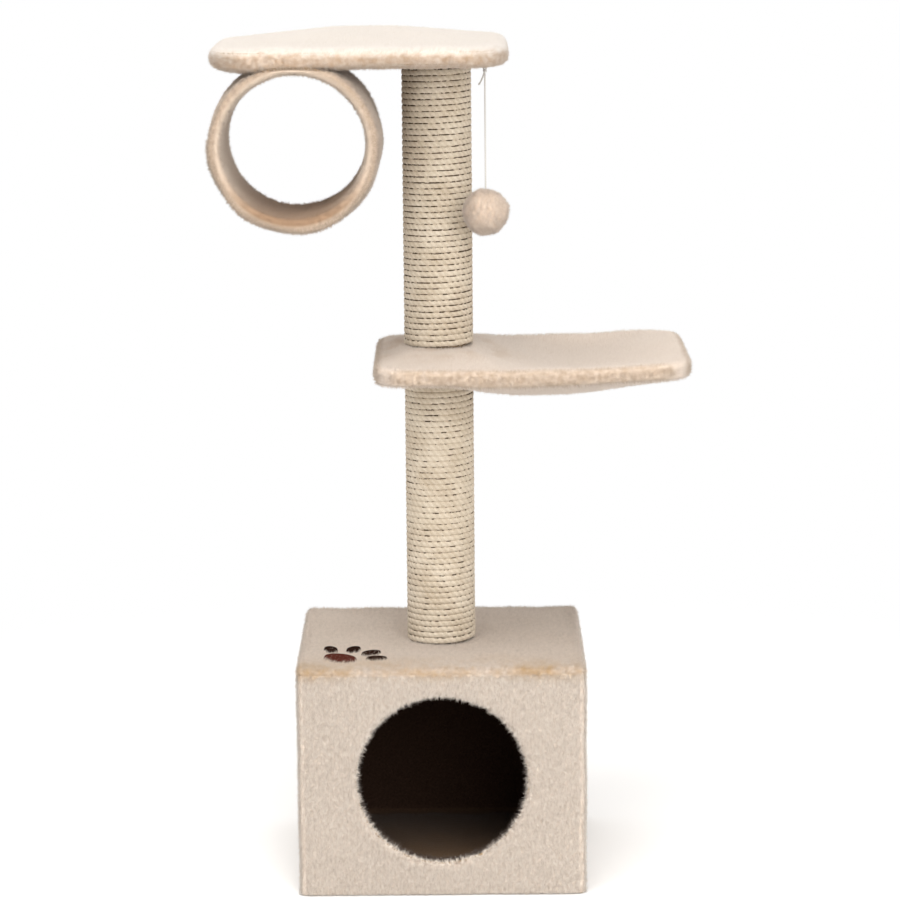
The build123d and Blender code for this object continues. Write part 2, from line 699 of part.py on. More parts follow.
with BuildPart() as platform_cover:
    with BuildSketch(Plane.XY.offset(PLATFORM_DECK - PILE)):
        add(platform_outline(PILE))
    extrude(amount=DECK + 2 * PILE)
    fillet(platform_cover.edges().group_by(Axis.Z)[-1], PLATFORM_EDGE)
    fillet(platform_cover.edges().group_by(Axis.Z)[0], PLATFORM_EDGE)
    with BuildSketch(Plane.XY.offset(PLATFORM_DECK)):
        add(platform_outline(0))
    extrude(amount=DECK, mode=Mode.SUBTRACT)
    # Holes in the underside for the post, the tunnel and the staple
    with BuildSketch(Plane.XY.offset(PLATFORM_DECK - PILE)):
        Circle(POST_RADIUS + POST_FIT)
        with Locations(*STAPLE_XY):
            Circle(STAPLE_WIRE + FIT)
    extrude(amount=PILE, mode=Mode.SUBTRACT)
    with BuildSketch(Plane.XZ.offset(-TUNNEL_FRONT + FIT)):
        with Locations((TUNNEL_X, TUNNEL_Z)):
            Circle(TUNNEL_RADIUS + FIT)
    extrude(amount=-TUNNEL_LENGTH - 2 * FIT, mode=Mode.SUBTRACT)
save(platform_cover, "platform_cover")

# Tunnel


def tunnel_ring(front, length, outer, inner):
    """A ring of the tunnel's axis, from a distance in front to its back."""
    with BuildSketch(Plane.XZ.offset(-front)) as ring:
        with Locations((TUNNEL_X, TUNNEL_Z)):
            Circle(outer)
            Circle(inner, mode=Mode.SUBTRACT)
    extrude(ring.sketch, amount=-length)


def tunnel_holes(radius):
    """Round holes for the tunnel's bolts through the crown of the tube."""
    with BuildSketch(Plane.XY.offset(TUNNEL_Z)) as holes:
        with Locations(*BOLT_SPOTS):
            Circle(radius)
    extrude(holes.sketch, amount=TUNNEL_RADIUS + PILE, mode=Mode.SUBTRACT)


with BuildPart() as tunnel_tube:
    tunnel_ring(TUNNEL_FRONT, TUNNEL_LENGTH, TUNNEL_RADIUS, TUNNEL_INNER)
    tunnel_holes(SMALL_BOLT_RADIUS + FIT)
save(tunnel_tube, "tunnel_tube")

with BuildPart() as tunnel_cover:
    outer = TUNNEL_RADIUS + PILE
    tunnel_ring(TUNNEL_FRONT, TUNNEL_LENGTH, outer, TUNNEL_RADIUS)
    tunnel_ring(TUNNEL_FRONT - PILE, PILE, outer, TUNNEL_INNER)
    tunnel_ring(TUNNEL_FRONT + TUNNEL_LENGTH, PILE, outer, TUNNEL_INNER)
    fillet(tunnel_cover.edges().group_by(Axis.Y)[0], PILE / 2)
    fillet(tunnel_cover.edges().group_by(Axis.Y)[-1], PILE / 2)
    # Flat where it lies against the underside of the platform
    with BuildSketch(Plane.XY.offset(PLATFORM_DECK - PILE - FIT)):
        with Locations((TUNNEL_X, TUNNEL_MIDDLE)):
            Rectangle(2 * outer, TUNNEL_LENGTH + 4 * PILE)
    extrude(amount=4 * PILE, mode=Mode.SUBTRACT)
save(tunnel_cover, "tunnel_cover")

with BuildPart() as tunnel_lining:
    tunnel_ring(TUNNEL_FRONT - PILE / 2, TUNNEL_LENGTH + PILE, TUNNEL_INNER - SEAT, TUNNEL_INNER - LINING)
    tunnel_holes(SMALL_WASHER_RADIUS + FIT)
save(tunnel_lining, "tunnel_lining")

# Flat washers rest on the edges of the curved bore
CROWN = TUNNEL_Z + sqrt(TUNNEL_INNER ** 2 - SMALL_WASHER_RADIUS ** 2)

with BuildPart() as tunnel_washers:
    with BuildSketch(Plane.XY.offset(CROWN - WASHER)):
        with Locations(*BOLT_SPOTS):
            Circle(SMALL_WASHER_RADIUS)
            Circle(SMALL_BOLT_RADIUS + FIT, mode=Mode.SUBTRACT)
    extrude(amount=WASHER)
save(tunnel_washers, "tunnel_washers")

with BuildPart() as tunnel_bolts:
    with BuildSketch(Plane.XY.offset(CROWN - WASHER)):
        with Locations(*BOLT_SPOTS):
            Circle(SMALL_HEAD_RADIUS)
    extrude(amount=-SMALL_HEAD_HEIGHT)
    fillet(tunnel_bolts.edges().group_by(Axis.Z)[0], SMALL_HEAD_HEIGHT / 2)
    with BuildSketch(Plane.XY.offset(CROWN - WASHER)):
        with Locations(*BOLT_SPOTS):
            Circle(SMALL_BOLT_RADIUS)
    extrude(amount=PLATFORM_TOP - FLANGE - CROWN + WASHER)
save(tunnel_bolts, "tunnel_bolts")

# Hanging toy: the loop swings on the staple, and the cord bends below its knot

STAPLE_CROWN = PLATFORM_DECK - PILE - STAPLE_DROP
HANGER = TOY.offset(STAPLE_CROWN - PLATFORM_DECK)
LOOP_CENTRE = STAPLE_WIRE + FIT - LOOP_RADIUS + CORD_RADIUS
KNOT_CENTRE = LOOP_CENTRE - LOOP_RADIUS - KNOT_RADIUS + CORD_RADIUS
TAIL_WAY = Vector(-0.25, 0.76, -0.6).normalized()

with BuildPart() as staple:
    leg = PILE + STAPLE_DROP + STAPLE_DEPTH
    with BuildLine(HANGER) as wire:
        FilletPolyline(
            (-STAPLE_WIDTH / 2, 0, leg),
            (-STAPLE_WIDTH / 2, 0, 0),
            (STAPLE_WIDTH / 2, 0, 0),
            (STAPLE_WIDTH / 2, 0, leg),
            radius=1.5,
        )
    with BuildSketch(Plane(origin=wire.line @ 0, z_dir=wire.line % 0)):
        Circle(STAPLE_WIRE)
    sweep()
save(staple, "toy_staple")

with BuildPart() as knot:
    with Locations(HANGER):
        with Locations((0, 0, LOOP_CENTRE)):
            Torus(LOOP_RADIUS, CORD_RADIUS, rotation=(0, -90, 0))
        with Locations((0, 0, KNOT_CENTRE)):
            Sphere(KNOT_RADIUS, rotation=(0, 90, 0))
    middle = HANGER.from_local_coords(Vector(0, 0, KNOT_CENTRE))
    with BuildLine() as tail:
        Line(middle, middle + TAIL_WAY * TAIL_LENGTH)
    with BuildSketch(Plane(origin=middle, z_dir=TAIL_WAY)):
        Circle(CORD_RADIUS)
    sweep()
save(knot, "toy_knot")

CORD_TOP = STAPLE_CROWN + KNOT_CENTRE - KNOT_RADIUS - FIT
CORE_RADIUS = BALL_RADIUS - PILE
CORD_END = BALL_HEIGHT + CORE_RADIUS - CORD_DEPTH

with BuildPart() as cord:
    with BuildSketch(Plane(origin=(TOY_X, TOY_Y, CORD_END))):
        Circle(CORD_RADIUS)
    extrude(amount=CORD_TOP - CORD_END)
save(cord, "toy_cord")

with BuildPart() as ball_core:
    with Locations((TOY_X, TOY_Y, BALL_HEIGHT)):
        Sphere(CORE_RADIUS - SEAT)
    with BuildSketch(Plane(origin=(TOY_X, TOY_Y, CORD_END))):
        Circle(CORD_RADIUS + SEAT)
    extrude(amount=CORD_DEPTH, mode=Mode.SUBTRACT)
save(ball_core, "toy_ball_core")

with BuildPart() as ball_cover:
    with Locations((TOY_X, TOY_Y, BALL_HEIGHT)):
        Sphere(BALL_RADIUS)
        Sphere(CORE_RADIUS, mode=Mode.SUBTRACT)
    with BuildSketch(Plane(origin=(TOY_X, TOY_Y, BALL_HEIGHT))):
        Circle(CORD_RADIUS + SEAT)
    extrude(amount=BALL_RADIUS, mode=Mode.SUBTRACT)
save(ball_cover, "toy_ball_cover")
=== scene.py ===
"""Looks of a plush cat tree: cave, sisal posts, hammock, platform with a tunnel, and a hanging ball.

Every soft piece is a surface written as a function of two parameters, or a profile along a path,
and the pile of the plush is drawn as short single blades that grow from those surfaces.
Lengths are in metres where nothing else is said; the frame is the CAD frame.
"""

import math

import bpy
import numpy as np
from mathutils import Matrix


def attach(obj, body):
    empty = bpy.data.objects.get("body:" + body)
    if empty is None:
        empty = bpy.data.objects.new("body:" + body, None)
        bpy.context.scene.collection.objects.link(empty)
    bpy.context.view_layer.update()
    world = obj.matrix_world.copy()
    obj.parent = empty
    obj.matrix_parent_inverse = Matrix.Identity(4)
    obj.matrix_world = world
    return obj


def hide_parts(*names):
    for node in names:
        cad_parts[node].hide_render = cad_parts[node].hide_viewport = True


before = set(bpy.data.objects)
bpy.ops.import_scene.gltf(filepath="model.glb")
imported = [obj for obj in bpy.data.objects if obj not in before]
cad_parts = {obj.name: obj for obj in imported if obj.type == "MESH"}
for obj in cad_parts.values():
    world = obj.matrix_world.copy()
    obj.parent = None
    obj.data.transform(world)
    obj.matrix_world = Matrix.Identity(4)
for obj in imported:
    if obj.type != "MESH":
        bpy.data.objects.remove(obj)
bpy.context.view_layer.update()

MM = 0.001
TAU = 2 * math.pi

# Sizes shared with the solids
CAVE = (362 * MM, 335 * MM, 293 * MM)
CAVE_CORNER = 9 * MM
ENTRANCE = 104 * MM
ENTRANCE_Z = 149 * MM
TUBE = 36.85 * MM         # radius of a post's tube with the gap to its rope
ROPE = 3.35 * MM
ROPE_PITCH = 7.4 * MM
ROPE_TURNS = 48.06        # both lengths of rope on a post
POSTS = {"lower": 287.5 * MM, "upper": 670.5 * MM}
HAMMOCK = (-81 * MM, 313 * MM, -157 * MM, 157 * MM)
HAMMOCK_CORNER = 45 * MM
PLATFORM = (-277 * MM, 89 * MM, -160 * MM, 168 * MM)
PLATFORM_CORNERS = (60 * MM, 60 * MM, 105 * MM, 135 * MM)
TUNNEL_AXIS = (-173 * MM, 938.5 * MM)
TUNNEL_OUTER = 105.5 * MM
TUNNEL_INNER = 89 * MM
TUNNEL_ENDS = (-160.5 * MM, 8.5 * MM)
TOY = np.array((60 * MM, -80 * MM, 0))
STAPLE_Z = 1029.2 * MM
KNOT_Z = 1025 * MM
BALL_Z = 851.5 * MM
BALL = 26.5 * MM
SKIN = 3 * MM             # woven ground of the plush below the tips of the pile

# Sizes of the soft forms
PLATFORM_MIDDLE = (-0.094, 0.004)
PLATFORM_TOP = 1.0572
PLATFORM_UNDERSIDE = 1.0350
PLATFORM_ROLL = 0.022     # how far in the roll of the rim starts
CROWN = 0.0150            # rise of the platform's padding
CROWN_LEFT = 0.183        # reach of the crown from the platform's middle
CROWN_RIGHT = 0.225
CROWN_DEEP = 0.164
HAMMOCK_MIDDLE = (0.116, 0.0)
HAMMOCK_TOP = 0.6730
HAMMOCK_UNDERSIDE = 0.6445
HAMMOCK_ROLL = 0.0095
DECK_FALL = 0.0105        # from the middle of the hammock's board to its rim
DECK_LEFT = -0.040        # flat middle of the hammock's board, and the runs of the slopes round it
DECK_RIGHT = 0.044
DECK_HALF = 0.060
DECK_RUN_LEFT = 0.0355
DECK_RUN_RIGHT = 0.034
DECK_RUN_DEEP = 0.0915
FRAME_RISE = 0.008        # of the hammock's frame towards its far end
FRAME_START = 0.090
FRAME_RUN = 0.2125
SLING_END = 0.302
SLING_HALF = 0.148
SLING_HOLLOW = 0.020
SLING_BELLY = 0.021
CAVE_LIP = 5 * MM         # roll of the cloth at the entrance, and depth of the roof's edge on the sides
PANEL_SWELL = 0.0004 / 0.17   # of the cave's panels, as a share of their distance from the middle
TUNNEL_CEILING = 1.0345   # cloth of the tunnel is pressed flat under the platform
TUNNEL_FLOOR_LIFT = 3.5 * MM
ROPE_STEPS = 110          # rings of the rope in one turn
STRAND_PITCH = 7.5 * MM
PAW = (-127 * MM, -109 * MM)
TOE_REACH = 46 * MM
TOE = (14.5 * MM, 9 * MM)     # half length and half width
PALM = (17 * MM, 25 * MM)
BLADE_FLOOR = 0.4 * MM    # lowest tip of the pile


# Numbers

def unit(v):
    """Vectors scaled to length one."""
    return v / np.maximum(np.linalg.norm(v, axis=-1, keepdims=True), 1e-12)


def smooth(t):
    """Smooth step from 0 to 1."""
    t = np.clip(t, 0, 1)
    return t * t * (3 - 2 * t)


def waves(points, size, seed, count=14):
    """Smooth noise: a sum of sine waves of about one wavelength in random directions."""
    rng = np.random.default_rng(seed)
    total = np.zeros(points.shape[:-1])
    for direction, phase, stretch in zip(
        unit(rng.normal(size=(count, 3))), rng.uniform(0, TAU, count), rng.uniform(0.6, 1.7, count)
    ):
        total += np.sin(points @ direction * (TAU * stretch / size) + phase)
    return total * math.sqrt(2 / count)


def run_length(route):
    """Length along a route at each of its points: the sum of the steps so far."""
    return np.concatenate([[0], np.cumsum(np.linalg.norm(np.diff(route, axis=0), axis=1))])


# Meshes

def new_object(name, verts, faces, normals=None, values=None):
    """Object from arrays of points and of equal-sided faces, smooth, with named point values."""
    mesh = bpy.data.meshes.new(name)
    sides = faces.shape[1]
    mesh.vertices.add(len(verts))
    mesh.vertices.foreach_set("co", np.ascontiguousarray(verts, dtype=np.float32).ravel())
    mesh.loops.add(faces.size)
    mesh.loops.foreach_set("vertex_index", np.ascontiguousarray(faces, dtype=np.int32).ravel())
    mesh.polygons.add(len(faces))
    mesh.polygons.foreach_set("loop_start", np.arange(0, faces.size, sides, dtype=np.int32))
    mesh.polygons.foreach_set("use_smooth", np.ones(len(faces), dtype=bool))
    mesh.update(calc_edges=True)
    for key, value in (values or {}).items():
        layer = mesh.attributes.new(key, "FLOAT", "POINT")
        layer.data.foreach_set("value", np.ascontiguousarray(value, dtype=np.float32).ravel())
    mesh.validate()
    if normals is not None:
        mesh.normals_split_custom_set_from_vertices(np.ascontiguousarray(normals, dtype=np.float32))
    thing = bpy.data.objects.new(name, mesh)
    bpy.context.scene.collection.objects.link(thing)
    return thing


def grid_faces(rows, columns, wrap_rows=False, wrap_columns=False):
    """Four-sided faces of a grid of points, joined round on itself where asked."""
    i = np.arange(rows if wrap_rows else rows - 1)
    j = np.arange(columns if wrap_columns else columns - 1)
    i, j = (a.ravel() for a in np.meshgrid(i, j, indexing="ij"))
    k, m = (i + 1) % rows, (j + 1) % columns
    return np.stack([i * columns + j, k * columns + j, k * columns + m, i * columns + m], axis=1)


class Surface:
    """A grid of points with its faces and normals, to be shown or to grow pile on."""

    def __init__(self, points, wrap_rows=False, wrap_columns=False, flip=False):
        rows, columns = points.shape[:2]
        self.points = points.reshape(-1, 3)
        self.faces = grid_faces(rows, columns, wrap_rows, wrap_columns)
        if flip:
            self.faces = self.faces[:, ::-1]
        corners = self.points[self.faces]
        cross = np.cross(corners[:, 2] - corners[:, 0], corners[:, 3] - corners[:, 1])
        self.area = np.linalg.norm(cross, axis=1) / 2
        self.normals = np.zeros_like(self.points)
        for side in range(4):
            np.add.at(self.normals, self.faces[:, side], cross)
        self.normals = unit(self.normals)

    def scatter(self, count, rng, keep=None):
        """Random places on the surface, even by area: points and normals."""
        area = self.area
        if keep is not None:
            area = area * keep(self.points[self.faces].mean(axis=1))
        pick = rng.choice(len(area), size=count, p=area / area.sum())
        u, v = rng.random((2, count, 1))
        mix = [(1 - u) * (1 - v), u * (1 - v), u * v, (1 - u) * v]
        quad = self.faces[pick]
        points = sum(self.points[quad[:, k]] * mix[k] for k in range(4))
        normals = unit(sum(self.normals[quad[:, k]] * mix[k] for k in range(4)))
        return points, normals


def show(name, surfaces, material, body="tree", replaces=(), values=None):
    """One object out of several surfaces, riding on a body."""
    verts, faces, start = [], [], 0
    for surface in surfaces:
        verts.append(surface.points)
        faces.append(surface.faces + start)
        start += len(surface.points)
    thing = new_object(name, np.concatenate(verts), np.concatenate(faces), values=values)
    return dress(thing, material, body, replaces)


def dress(thing, material, body="tree", replaces=()):
    """Material, body and slot of a piece."""
    thing.data.materials.append(material)
    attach(thing, body)
    if replaces:
        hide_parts(*replaces)
    return thing


def pile(name, surface, count, material, flow, seed, length=6.5, width=0.75, lean=0.8, tuft=0.45,
         clump=9, rough=0.35, body="tree", keep=None, sink=1.0):
    """Pile of the plush: one blade a root, leaning along the nap and gathered into small tufts.

    A blade's way is the normal plus shares of the nap, of noise that gathers tufts and of chance.
    flow gives the nap's direction for points and normals; lean is how far the blade lies over
    (0 stands up, 1 lies half over), tuft how far the tips lean into tufts of the size clump, and
    rough the share of chance. length, width, clump and sink are in millimetres.
    """
    rng = np.random.default_rng(seed)
    roots, normals = surface.scatter(count, rng, keep)
    nap = flow(roots, normals)
    nap = nap - normals * (nap * normals).sum(1, keepdims=True)
    gather = np.stack([waves(roots, clump * MM, seed + k, 8) for k in (1, 2, 3)], axis=1)
    stray = np.clip(rng.normal(size=roots.shape), -1.5, 1.5)
    way = unit(normals + lean * nap + tuft * gather + rough * stray)
    under = (way * normals).sum(1, keepdims=True)
    way = unit(way + normals * np.maximum(0.12 - under, 0))
    reach = length * MM * rng.uniform(0.65, 1.2, (count, 1))
    side = unit(np.cross(way, normals + 0.7 * rng.normal(size=roots.shape))) * (width * MM / 2)
    side *= np.where((np.cross(side, way) * normals).sum(1, keepdims=True) < 0, -1, 1)
    base = roots - normals * (sink * MM)
    tips = base + way * reach
    tips[:, 2] = np.maximum(tips[:, 2], BLADE_FLOOR)
    verts = np.stack([base - side, base + side, tips], axis=1).reshape(-1, 3)
    shade = unit(0.85 * normals + 0.35 * way)
    lights = np.repeat(shade, 3, axis=0)
    tip = np.tile((0.0, 0.0, 1.0), count)
    tone = np.repeat(rng.random(count), 3)
    thing = new_object(name, verts, np.arange(3 * count).reshape(-1, 3), lights, {"tip": tip, "tone": tone})
    blade_map(thing.data, roots)
    dress(thing, material, body)


def blade_map(mesh, roots):
    """UV map with a small cell for each blade, laid out so that blades that stand together lie together.

    The blades are sorted along the longest side of the piece, cut into rows of equal count, and each row
    is sorted along the next side.
    """
    count = len(roots)
    first, second = np.argsort(np.ptp(roots, axis=0))[::-1][:2]
    across = math.ceil(math.sqrt(count))
    row = np.empty(count, dtype=int)
    row[np.argsort(roots[:, first])] = np.arange(count) // across
    order = np.lexsort((roots[:, second], row))
    column = np.empty(count, dtype=int)
    column[order] = np.arange(count) % across
    corners = np.array(((0.1, 0.1), (0.9, 0.1), (0.5, 0.9)))
    cells = (np.stack([column, row], axis=1)[:, None, :] + corners) / across
    mesh.uv_layers.new(name="OFBake").uv.foreach_set("vector", cells.astype(np.float32).ravel())


# Shaders

class Value:
    """A socket of a node tree with arithmetic, so that formulas read as formulas."""

    def __init__(self, nodes, socket):
        self.nodes = nodes
        self.socket = socket

    def maths(self, kind, *others):
        """A Math node on this value and others."""
        return self.nodes.add("ShaderNodeMath", (self, *others), operation=kind)

    def __add__(self, other):
        return self.maths("ADD", other)

    def __sub__(self, other):
        return self.maths("SUBTRACT", other)

    def __mul__(self, other):
        return self.maths("MULTIPLY", other)

    def __pow__(self, other):
        return self.maths("POWER", other)

    def __rsub__(self, other):
        return self.nodes.add("ShaderNodeMath", (other, self), operation="SUBTRACT")

    __radd__ = __add__
    __rmul__ = __mul__

    def __abs__(self):
        return self.maths("ABSOLUTE")

    def clamp(self):
        """The value kept between 0 and 1."""
        return self.nodes.add("ShaderNodeClamp", (self,))

    def between(self, low, high):
        """0 at low, 1 at high, smooth between and steady beyond."""
        ends = (self, low, high, 0.0, 1.0)
        return self.nodes.add("ShaderNodeMapRange", ends, interpolation_type="SMOOTHSTEP")


class Nodes:
    """A node tree that gets its nodes from one method."""

    def __init__(self, tree):
        self.tree = tree

    def add(self, kind, inputs=(), output=0, **settings):
        """A node of a kind: settings first, then numbers or links for its sockets by place or by name."""
        node = self.tree.nodes.new(kind)
        for key, value in settings.items():
            setattr(node, key, value)
        for key, value in inputs.items() if isinstance(inputs, dict) else enumerate(inputs):
            if isinstance(value, Value):
                self.tree.links.new(value.socket, node.inputs[key])
            elif value is not None:
                node.inputs[key].default_value = value
        return Value(self, node.outputs[output]) if node.outputs else node


class Sheet(Nodes):
    """A material and its nodes."""

    def __init__(self, name, roughness, sheen=0.0, metallic=0.0, specular=0.3):
        self.material = bpy.data.materials.new(name)
        self.material.use_nodes = True
        super().__init__(self.material.node_tree)
        self.shader = self.tree.nodes["Principled BSDF"]
        self.shader.inputs["Roughness"].default_value = roughness
        self.shader.inputs["Sheen Weight"].default_value = sheen
        self.shader.inputs["Metallic"].default_value = metallic
        self.shader.inputs["Specular IOR Level"].default_value = specular
        self.place = self.add("ShaderNodeTexCoord", output="Object")

    def set(self, socket, value):
        """Link a value to a socket of the shader."""
        self.tree.links.new(value.socket, self.shader.inputs[socket])

    def point(self, name):
        """A named point value of the mesh."""
        return self.add("ShaderNodeAttribute", output="Fac", attribute_name=name)

    def axis(self, letter):
        """One coordinate of the place on the object."""
        return self.add("ShaderNodeSeparateXYZ", (self.place,), letter)

    def noise(self, size, detail=3.0, stretch=(1, 1, 1)):
        """Noise of a feature size in metres, drawn out along the axes."""
        scaled = self.add("ShaderNodeMapping", {"Vector": self.place, "Scale": tuple(1 / s for s in stretch)})
        return self.add("ShaderNodeTexNoise", {"Vector": scaled, "Scale": 1 / size, "Detail": detail}, "Fac")

    def blend(self, factor, first, second):
        """Colour mixed from the first to the second."""
        first, second = (c if isinstance(c, Value) else (*c, 1.0) for c in (first, second))
        return self.add("ShaderNodeMix", {0: factor, 6: first, 7: second}, 2, data_type="RGBA")

    def bump(self, height, depth):
        """Relief by a height from 0 to 1 that stands for a depth in metres."""
        self.set("Normal", self.add("ShaderNodeBump", {"Distance": depth, "Height": height}, "Normal"))

    def one_sided(self):
        """Keep the normal of the mesh on both sides of a face, so that a blade is lit as its ground is."""
        behind = self.add("ShaderNodeNewGeometry", output="Backfacing")
        normal = self.add("ShaderNodeNewGeometry", output="Normal")
        ends = {0: normal, "Scale": 1 - behind * 2}
        self.set("Normal", self.add("ShaderNodeVectorMath", ends, operation="SCALE"))


def scale(colour, factor):
    """A colour made lighter or darker."""
    return tuple(c * factor for c in colour)


def plush(name, tip, root, tint=None, grain=(1, 1, 1), grit=0.35, patch=0.10):
    """Plush: roots darker than tips, each blade a little different, with soft worn patches.

    grain draws the fine unevenness out along the axes, grit is its strength, patch the strength of
    the worn patches, and tint changes the colour in some places.
    """
    sheet = Sheet(name, 0.95, sheen=0.12, specular=0.1)
    colour = sheet.blend(sheet.point("tip").between(-0.1, 0.9), root, tip)
    fine = sheet.noise(0.004, 2.0, grain)
    broad = sheet.noise(0.07, 3.0)
    shade = (sheet.point("tone") - 0.5) * 0.20 + (fine - 0.5) * grit + (broad - 0.5) * patch * 4
    colour = sheet.blend((0 - shade).clamp(), colour, scale(root, 0.8))
    colour = sheet.blend(shade.clamp(), colour, tuple(min(1.0, c * 1.18) for c in tip))
    sheet.set("Base Color", tint(sheet, colour) if tint else colour)
    sheet.one_sided()
    return sheet.material


def patches(sheet, less):
    """Where the pile parts along an edge: fine and broad noise added up, less a level."""
    return (sheet.noise(0.010) * 1.3 + sheet.noise(0.06) * 1.6 - less).clamp()


def specks(sheet):
    """Fine specks where the ground shows: noise with its contrast raised."""
    return (sheet.noise(0.007) * 2.4 - 0.65).clamp()


def edge_seam_and_lip_shade(sheet, colour):
    """Golden band along the top edge of the cave's sides, in patches, and painted shade on the lip in the
    entrance.

    The lip is a short cylinder round the entrance's axis, just behind the front; its dark brown is painted
    shade in the recess of the opening.
    """
    band = sheet.axis("Z").between(0.270, 0.287) * patches(sheet, 1.18)
    colour = sheet.blend(band, colour, (0.52, 0.335, 0.16))
    x, y, up = sheet.axis("X"), sheet.axis("Y"), sheet.axis("Z") - ENTRANCE_Z
    inside = (x * x + up * up).between((ENTRANCE + 12 * MM) ** 2, (ENTRANCE + 9 * MM) ** 2)
    lip = y.between(-half_d + 2.5 * MM, -half_d + 6 * MM) * y.between(-half_d + 30 * MM, -half_d + 25 * MM)
    # painted shade: the inner face of the entrance's roll is coloured dark brown
    return sheet.blend(inside * lip, colour, (0.070, 0.042, 0.028))


def roof_seam(sheet, colour):
    """The same band on the roof's front edge."""
    band = sheet.axis("Y").between(-0.080, -0.160) * patches(sheet, 1.13)
    return sheet.blend(band, colour, (0.56, 0.375, 0.195))


def rim_specks_and_painted_shade(sheet, colour):
    """The platform's rolled edge shows more of the ground than its top, in specks, and is darkened below its
    lit top as painted shade.
    """
    low = (sheet.axis("Z") + (sheet.noise(0.012) - 0.5) * 0.016).between(1.057, 1.046)
    # painted shade: the rim is darker than the top, which takes the light from above; the specks are the
    # ground showing
    return sheet.blend(low * (specks(sheet) * 0.6 + 0.4), colour, (0.57, 0.42, 0.30))


def border_and_post_painted_shade(sheet, colour):
    """The same on the hammock's rolled border, and painted shade, browner in patches, round the foot of the
    post.
    """
    x, y = sheet.axis("X"), sheet.axis("Y")
    # painted shade: browner in patches round the foot of the post
    post_foot_shade = ((x * x + y * y) ** 0.5).between(0.130, 0.050) * sheet.noise(0.03).between(0.40, 0.65)
    colour = sheet.blend(post_foot_shade * 0.55, colour, (0.66, 0.49, 0.345))
    ends = abs(x - HAMMOCK_MIDDLE[0]).between(0.1850, 0.1925)
    border = abs(y).between(0.1450, 0.1525).maths("MAXIMUM", ends)
    # painted shade on the rolled border, with specks where the ground shows
    return sheet.blend(border * (specks(sheet) * 0.7 + 0.3), colour, (0.55, 0.43, 0.325))


def tunnel_painted_light_and_shade(sheet, colour):
    """Painted light that makes the pile paler inside the tunnel, and painted shade that makes it brown on its
    floor.
    """
    across, up = sheet.axis("X") - TUNNEL_AXIS[0], sheet.axis("Z") - TUNNEL_AXIS[1]
    inside = ((across * across + up * up) ** 0.5).between(0.098, 0.092)
    # painted light: the inside walls are made paler, as if lit through the opening
    colour = sheet.blend(inside * 0.5, colour, (0.92, 0.77, 0.63))
    # painted shade: the inside floor is browner towards its lowest part
    return sheet.blend(inside * up.between(-0.02, -0.085) * 0.85, colour, (0.32, 0.19, 0.105))


# Plush outlines

def rounded_outline(left, right, front, back, radii, count):
    """Points of a rectangle with round corners, spaced evenly, with outward directions.

    The corners are front left, front right, back right and back left.
    """
    corners = [(left, front, 1, 1), (right, front, -1, 1), (right, back, -1, -1), (left, back, 1, -1)]
    starts = (180, 270, 0, 90)
    points, ways = [], []
    for (x, y, sx, sy), radius, start in zip(corners, radii, starts):
        angle = np.radians(start + np.linspace(0, 90, 24))
        way = np.stack([np.cos(angle), np.sin(angle)], axis=1)
        points.append(np.array((x + sx * radius, y + sy * radius)) + radius * way)
        ways.append(way)
    points, ways = np.concatenate(points), np.concatenate(ways)
    loop = np.concatenate([points, points[:1]])
    along = run_length(loop)
    spots = np.linspace(0, along[-1], count, endpoint=False)
    turned = np.concatenate([ways, ways[:1]])
    out = np.stack([np.interp(spots, along, loop[:, k]) for k in (0, 1)], axis=1)
    way = unit(np.stack([np.interp(spots, along, turned[:, k]) for k in (0, 1)], axis=1))
    return out, way


def pillow(outline, ways, centre, top, bottom, edge, inner=26, arc=16, lower=True, full=0.6):
    """A covered board: its top runs from the middle to the rim, rolls round the edge and runs back.

    top and bottom give heights for points in plan; edge is how far in the roll of the rim starts,
    and full is 1 for an oval roll and less for a fuller one.
    """
    inset = outline - ways * edge
    rows = []
    shares = np.linspace(0, 1, inner)
    for share in shares:
        plan = centre + (inset - centre) * share
        rows.append(np.column_stack([plan, top(plan)]))
    high, low = top(inset), bottom(inset)
    middle, half = (high + low) / 2, (high - low) / 2
    end = -90 if lower else 0
    for angle in np.radians(np.linspace(90, end, arc))[1:]:
        out, up = math.cos(angle), math.sin(angle)
        plan = inset + ways * (edge * max(out, 0) ** full)
        rows.append(np.column_stack([plan, middle + half * math.copysign(abs(up) ** full, up)]))
    if lower:
        for share in shares[::-1][1:]:
            plan = centre + (inset - centre) * share
            rows.append(np.column_stack([plan, bottom(plan)]))
    return np.stack(rows)


def uneven(plan, height, size, seed):
    """Small swells of the cloth: noise of a height and a wavelength over points in plan."""
    return height * waves(np.column_stack([plan, np.zeros(len(plan))]), size, seed)


def steady(*way):
    """Nap that lies one way everywhere."""
    way = np.array(way, dtype=float)
    return lambda points, normals: np.broadcast_to(way, points.shape)


# Platform

def platform_top(plan):
    """Padded top: a low crown, fuller on the right, that falls off in squared-off rounds towards the rim."""
    x = (plan[:, 0] - PLATFORM_MIDDLE[0]) / np.where(plan[:, 0] > PLATFORM_MIDDLE[0], CROWN_RIGHT, CROWN_LEFT)
    y = (plan[:, 1] - PLATFORM_MIDDLE[1]) / CROWN_DEEP
    crown = smooth((0.95 - (np.abs(x) ** 3 + np.abs(y) ** 3) ** (1 / 3)) / 0.85)
    return PLATFORM_TOP + CROWN * crown + uneven(plan, 0.0005, 0.09, 5)


def platform_bottom(plan):
    """Flat underside, a little fuller at the front left of the rim."""
    fuller = smooth((-0.05 - plan[:, 0]) / 0.18) * smooth((-0.09 - plan[:, 1]) / 0.05)
    return PLATFORM_UNDERSIDE - 0.0045 * fuller + uneven(plan, 0.0004, 0.06, 6)


def inset_box(box, by):
    """A plan box made smaller all round."""
    return box[0] + by, box[1] - by, box[2] + by, box[3] - by


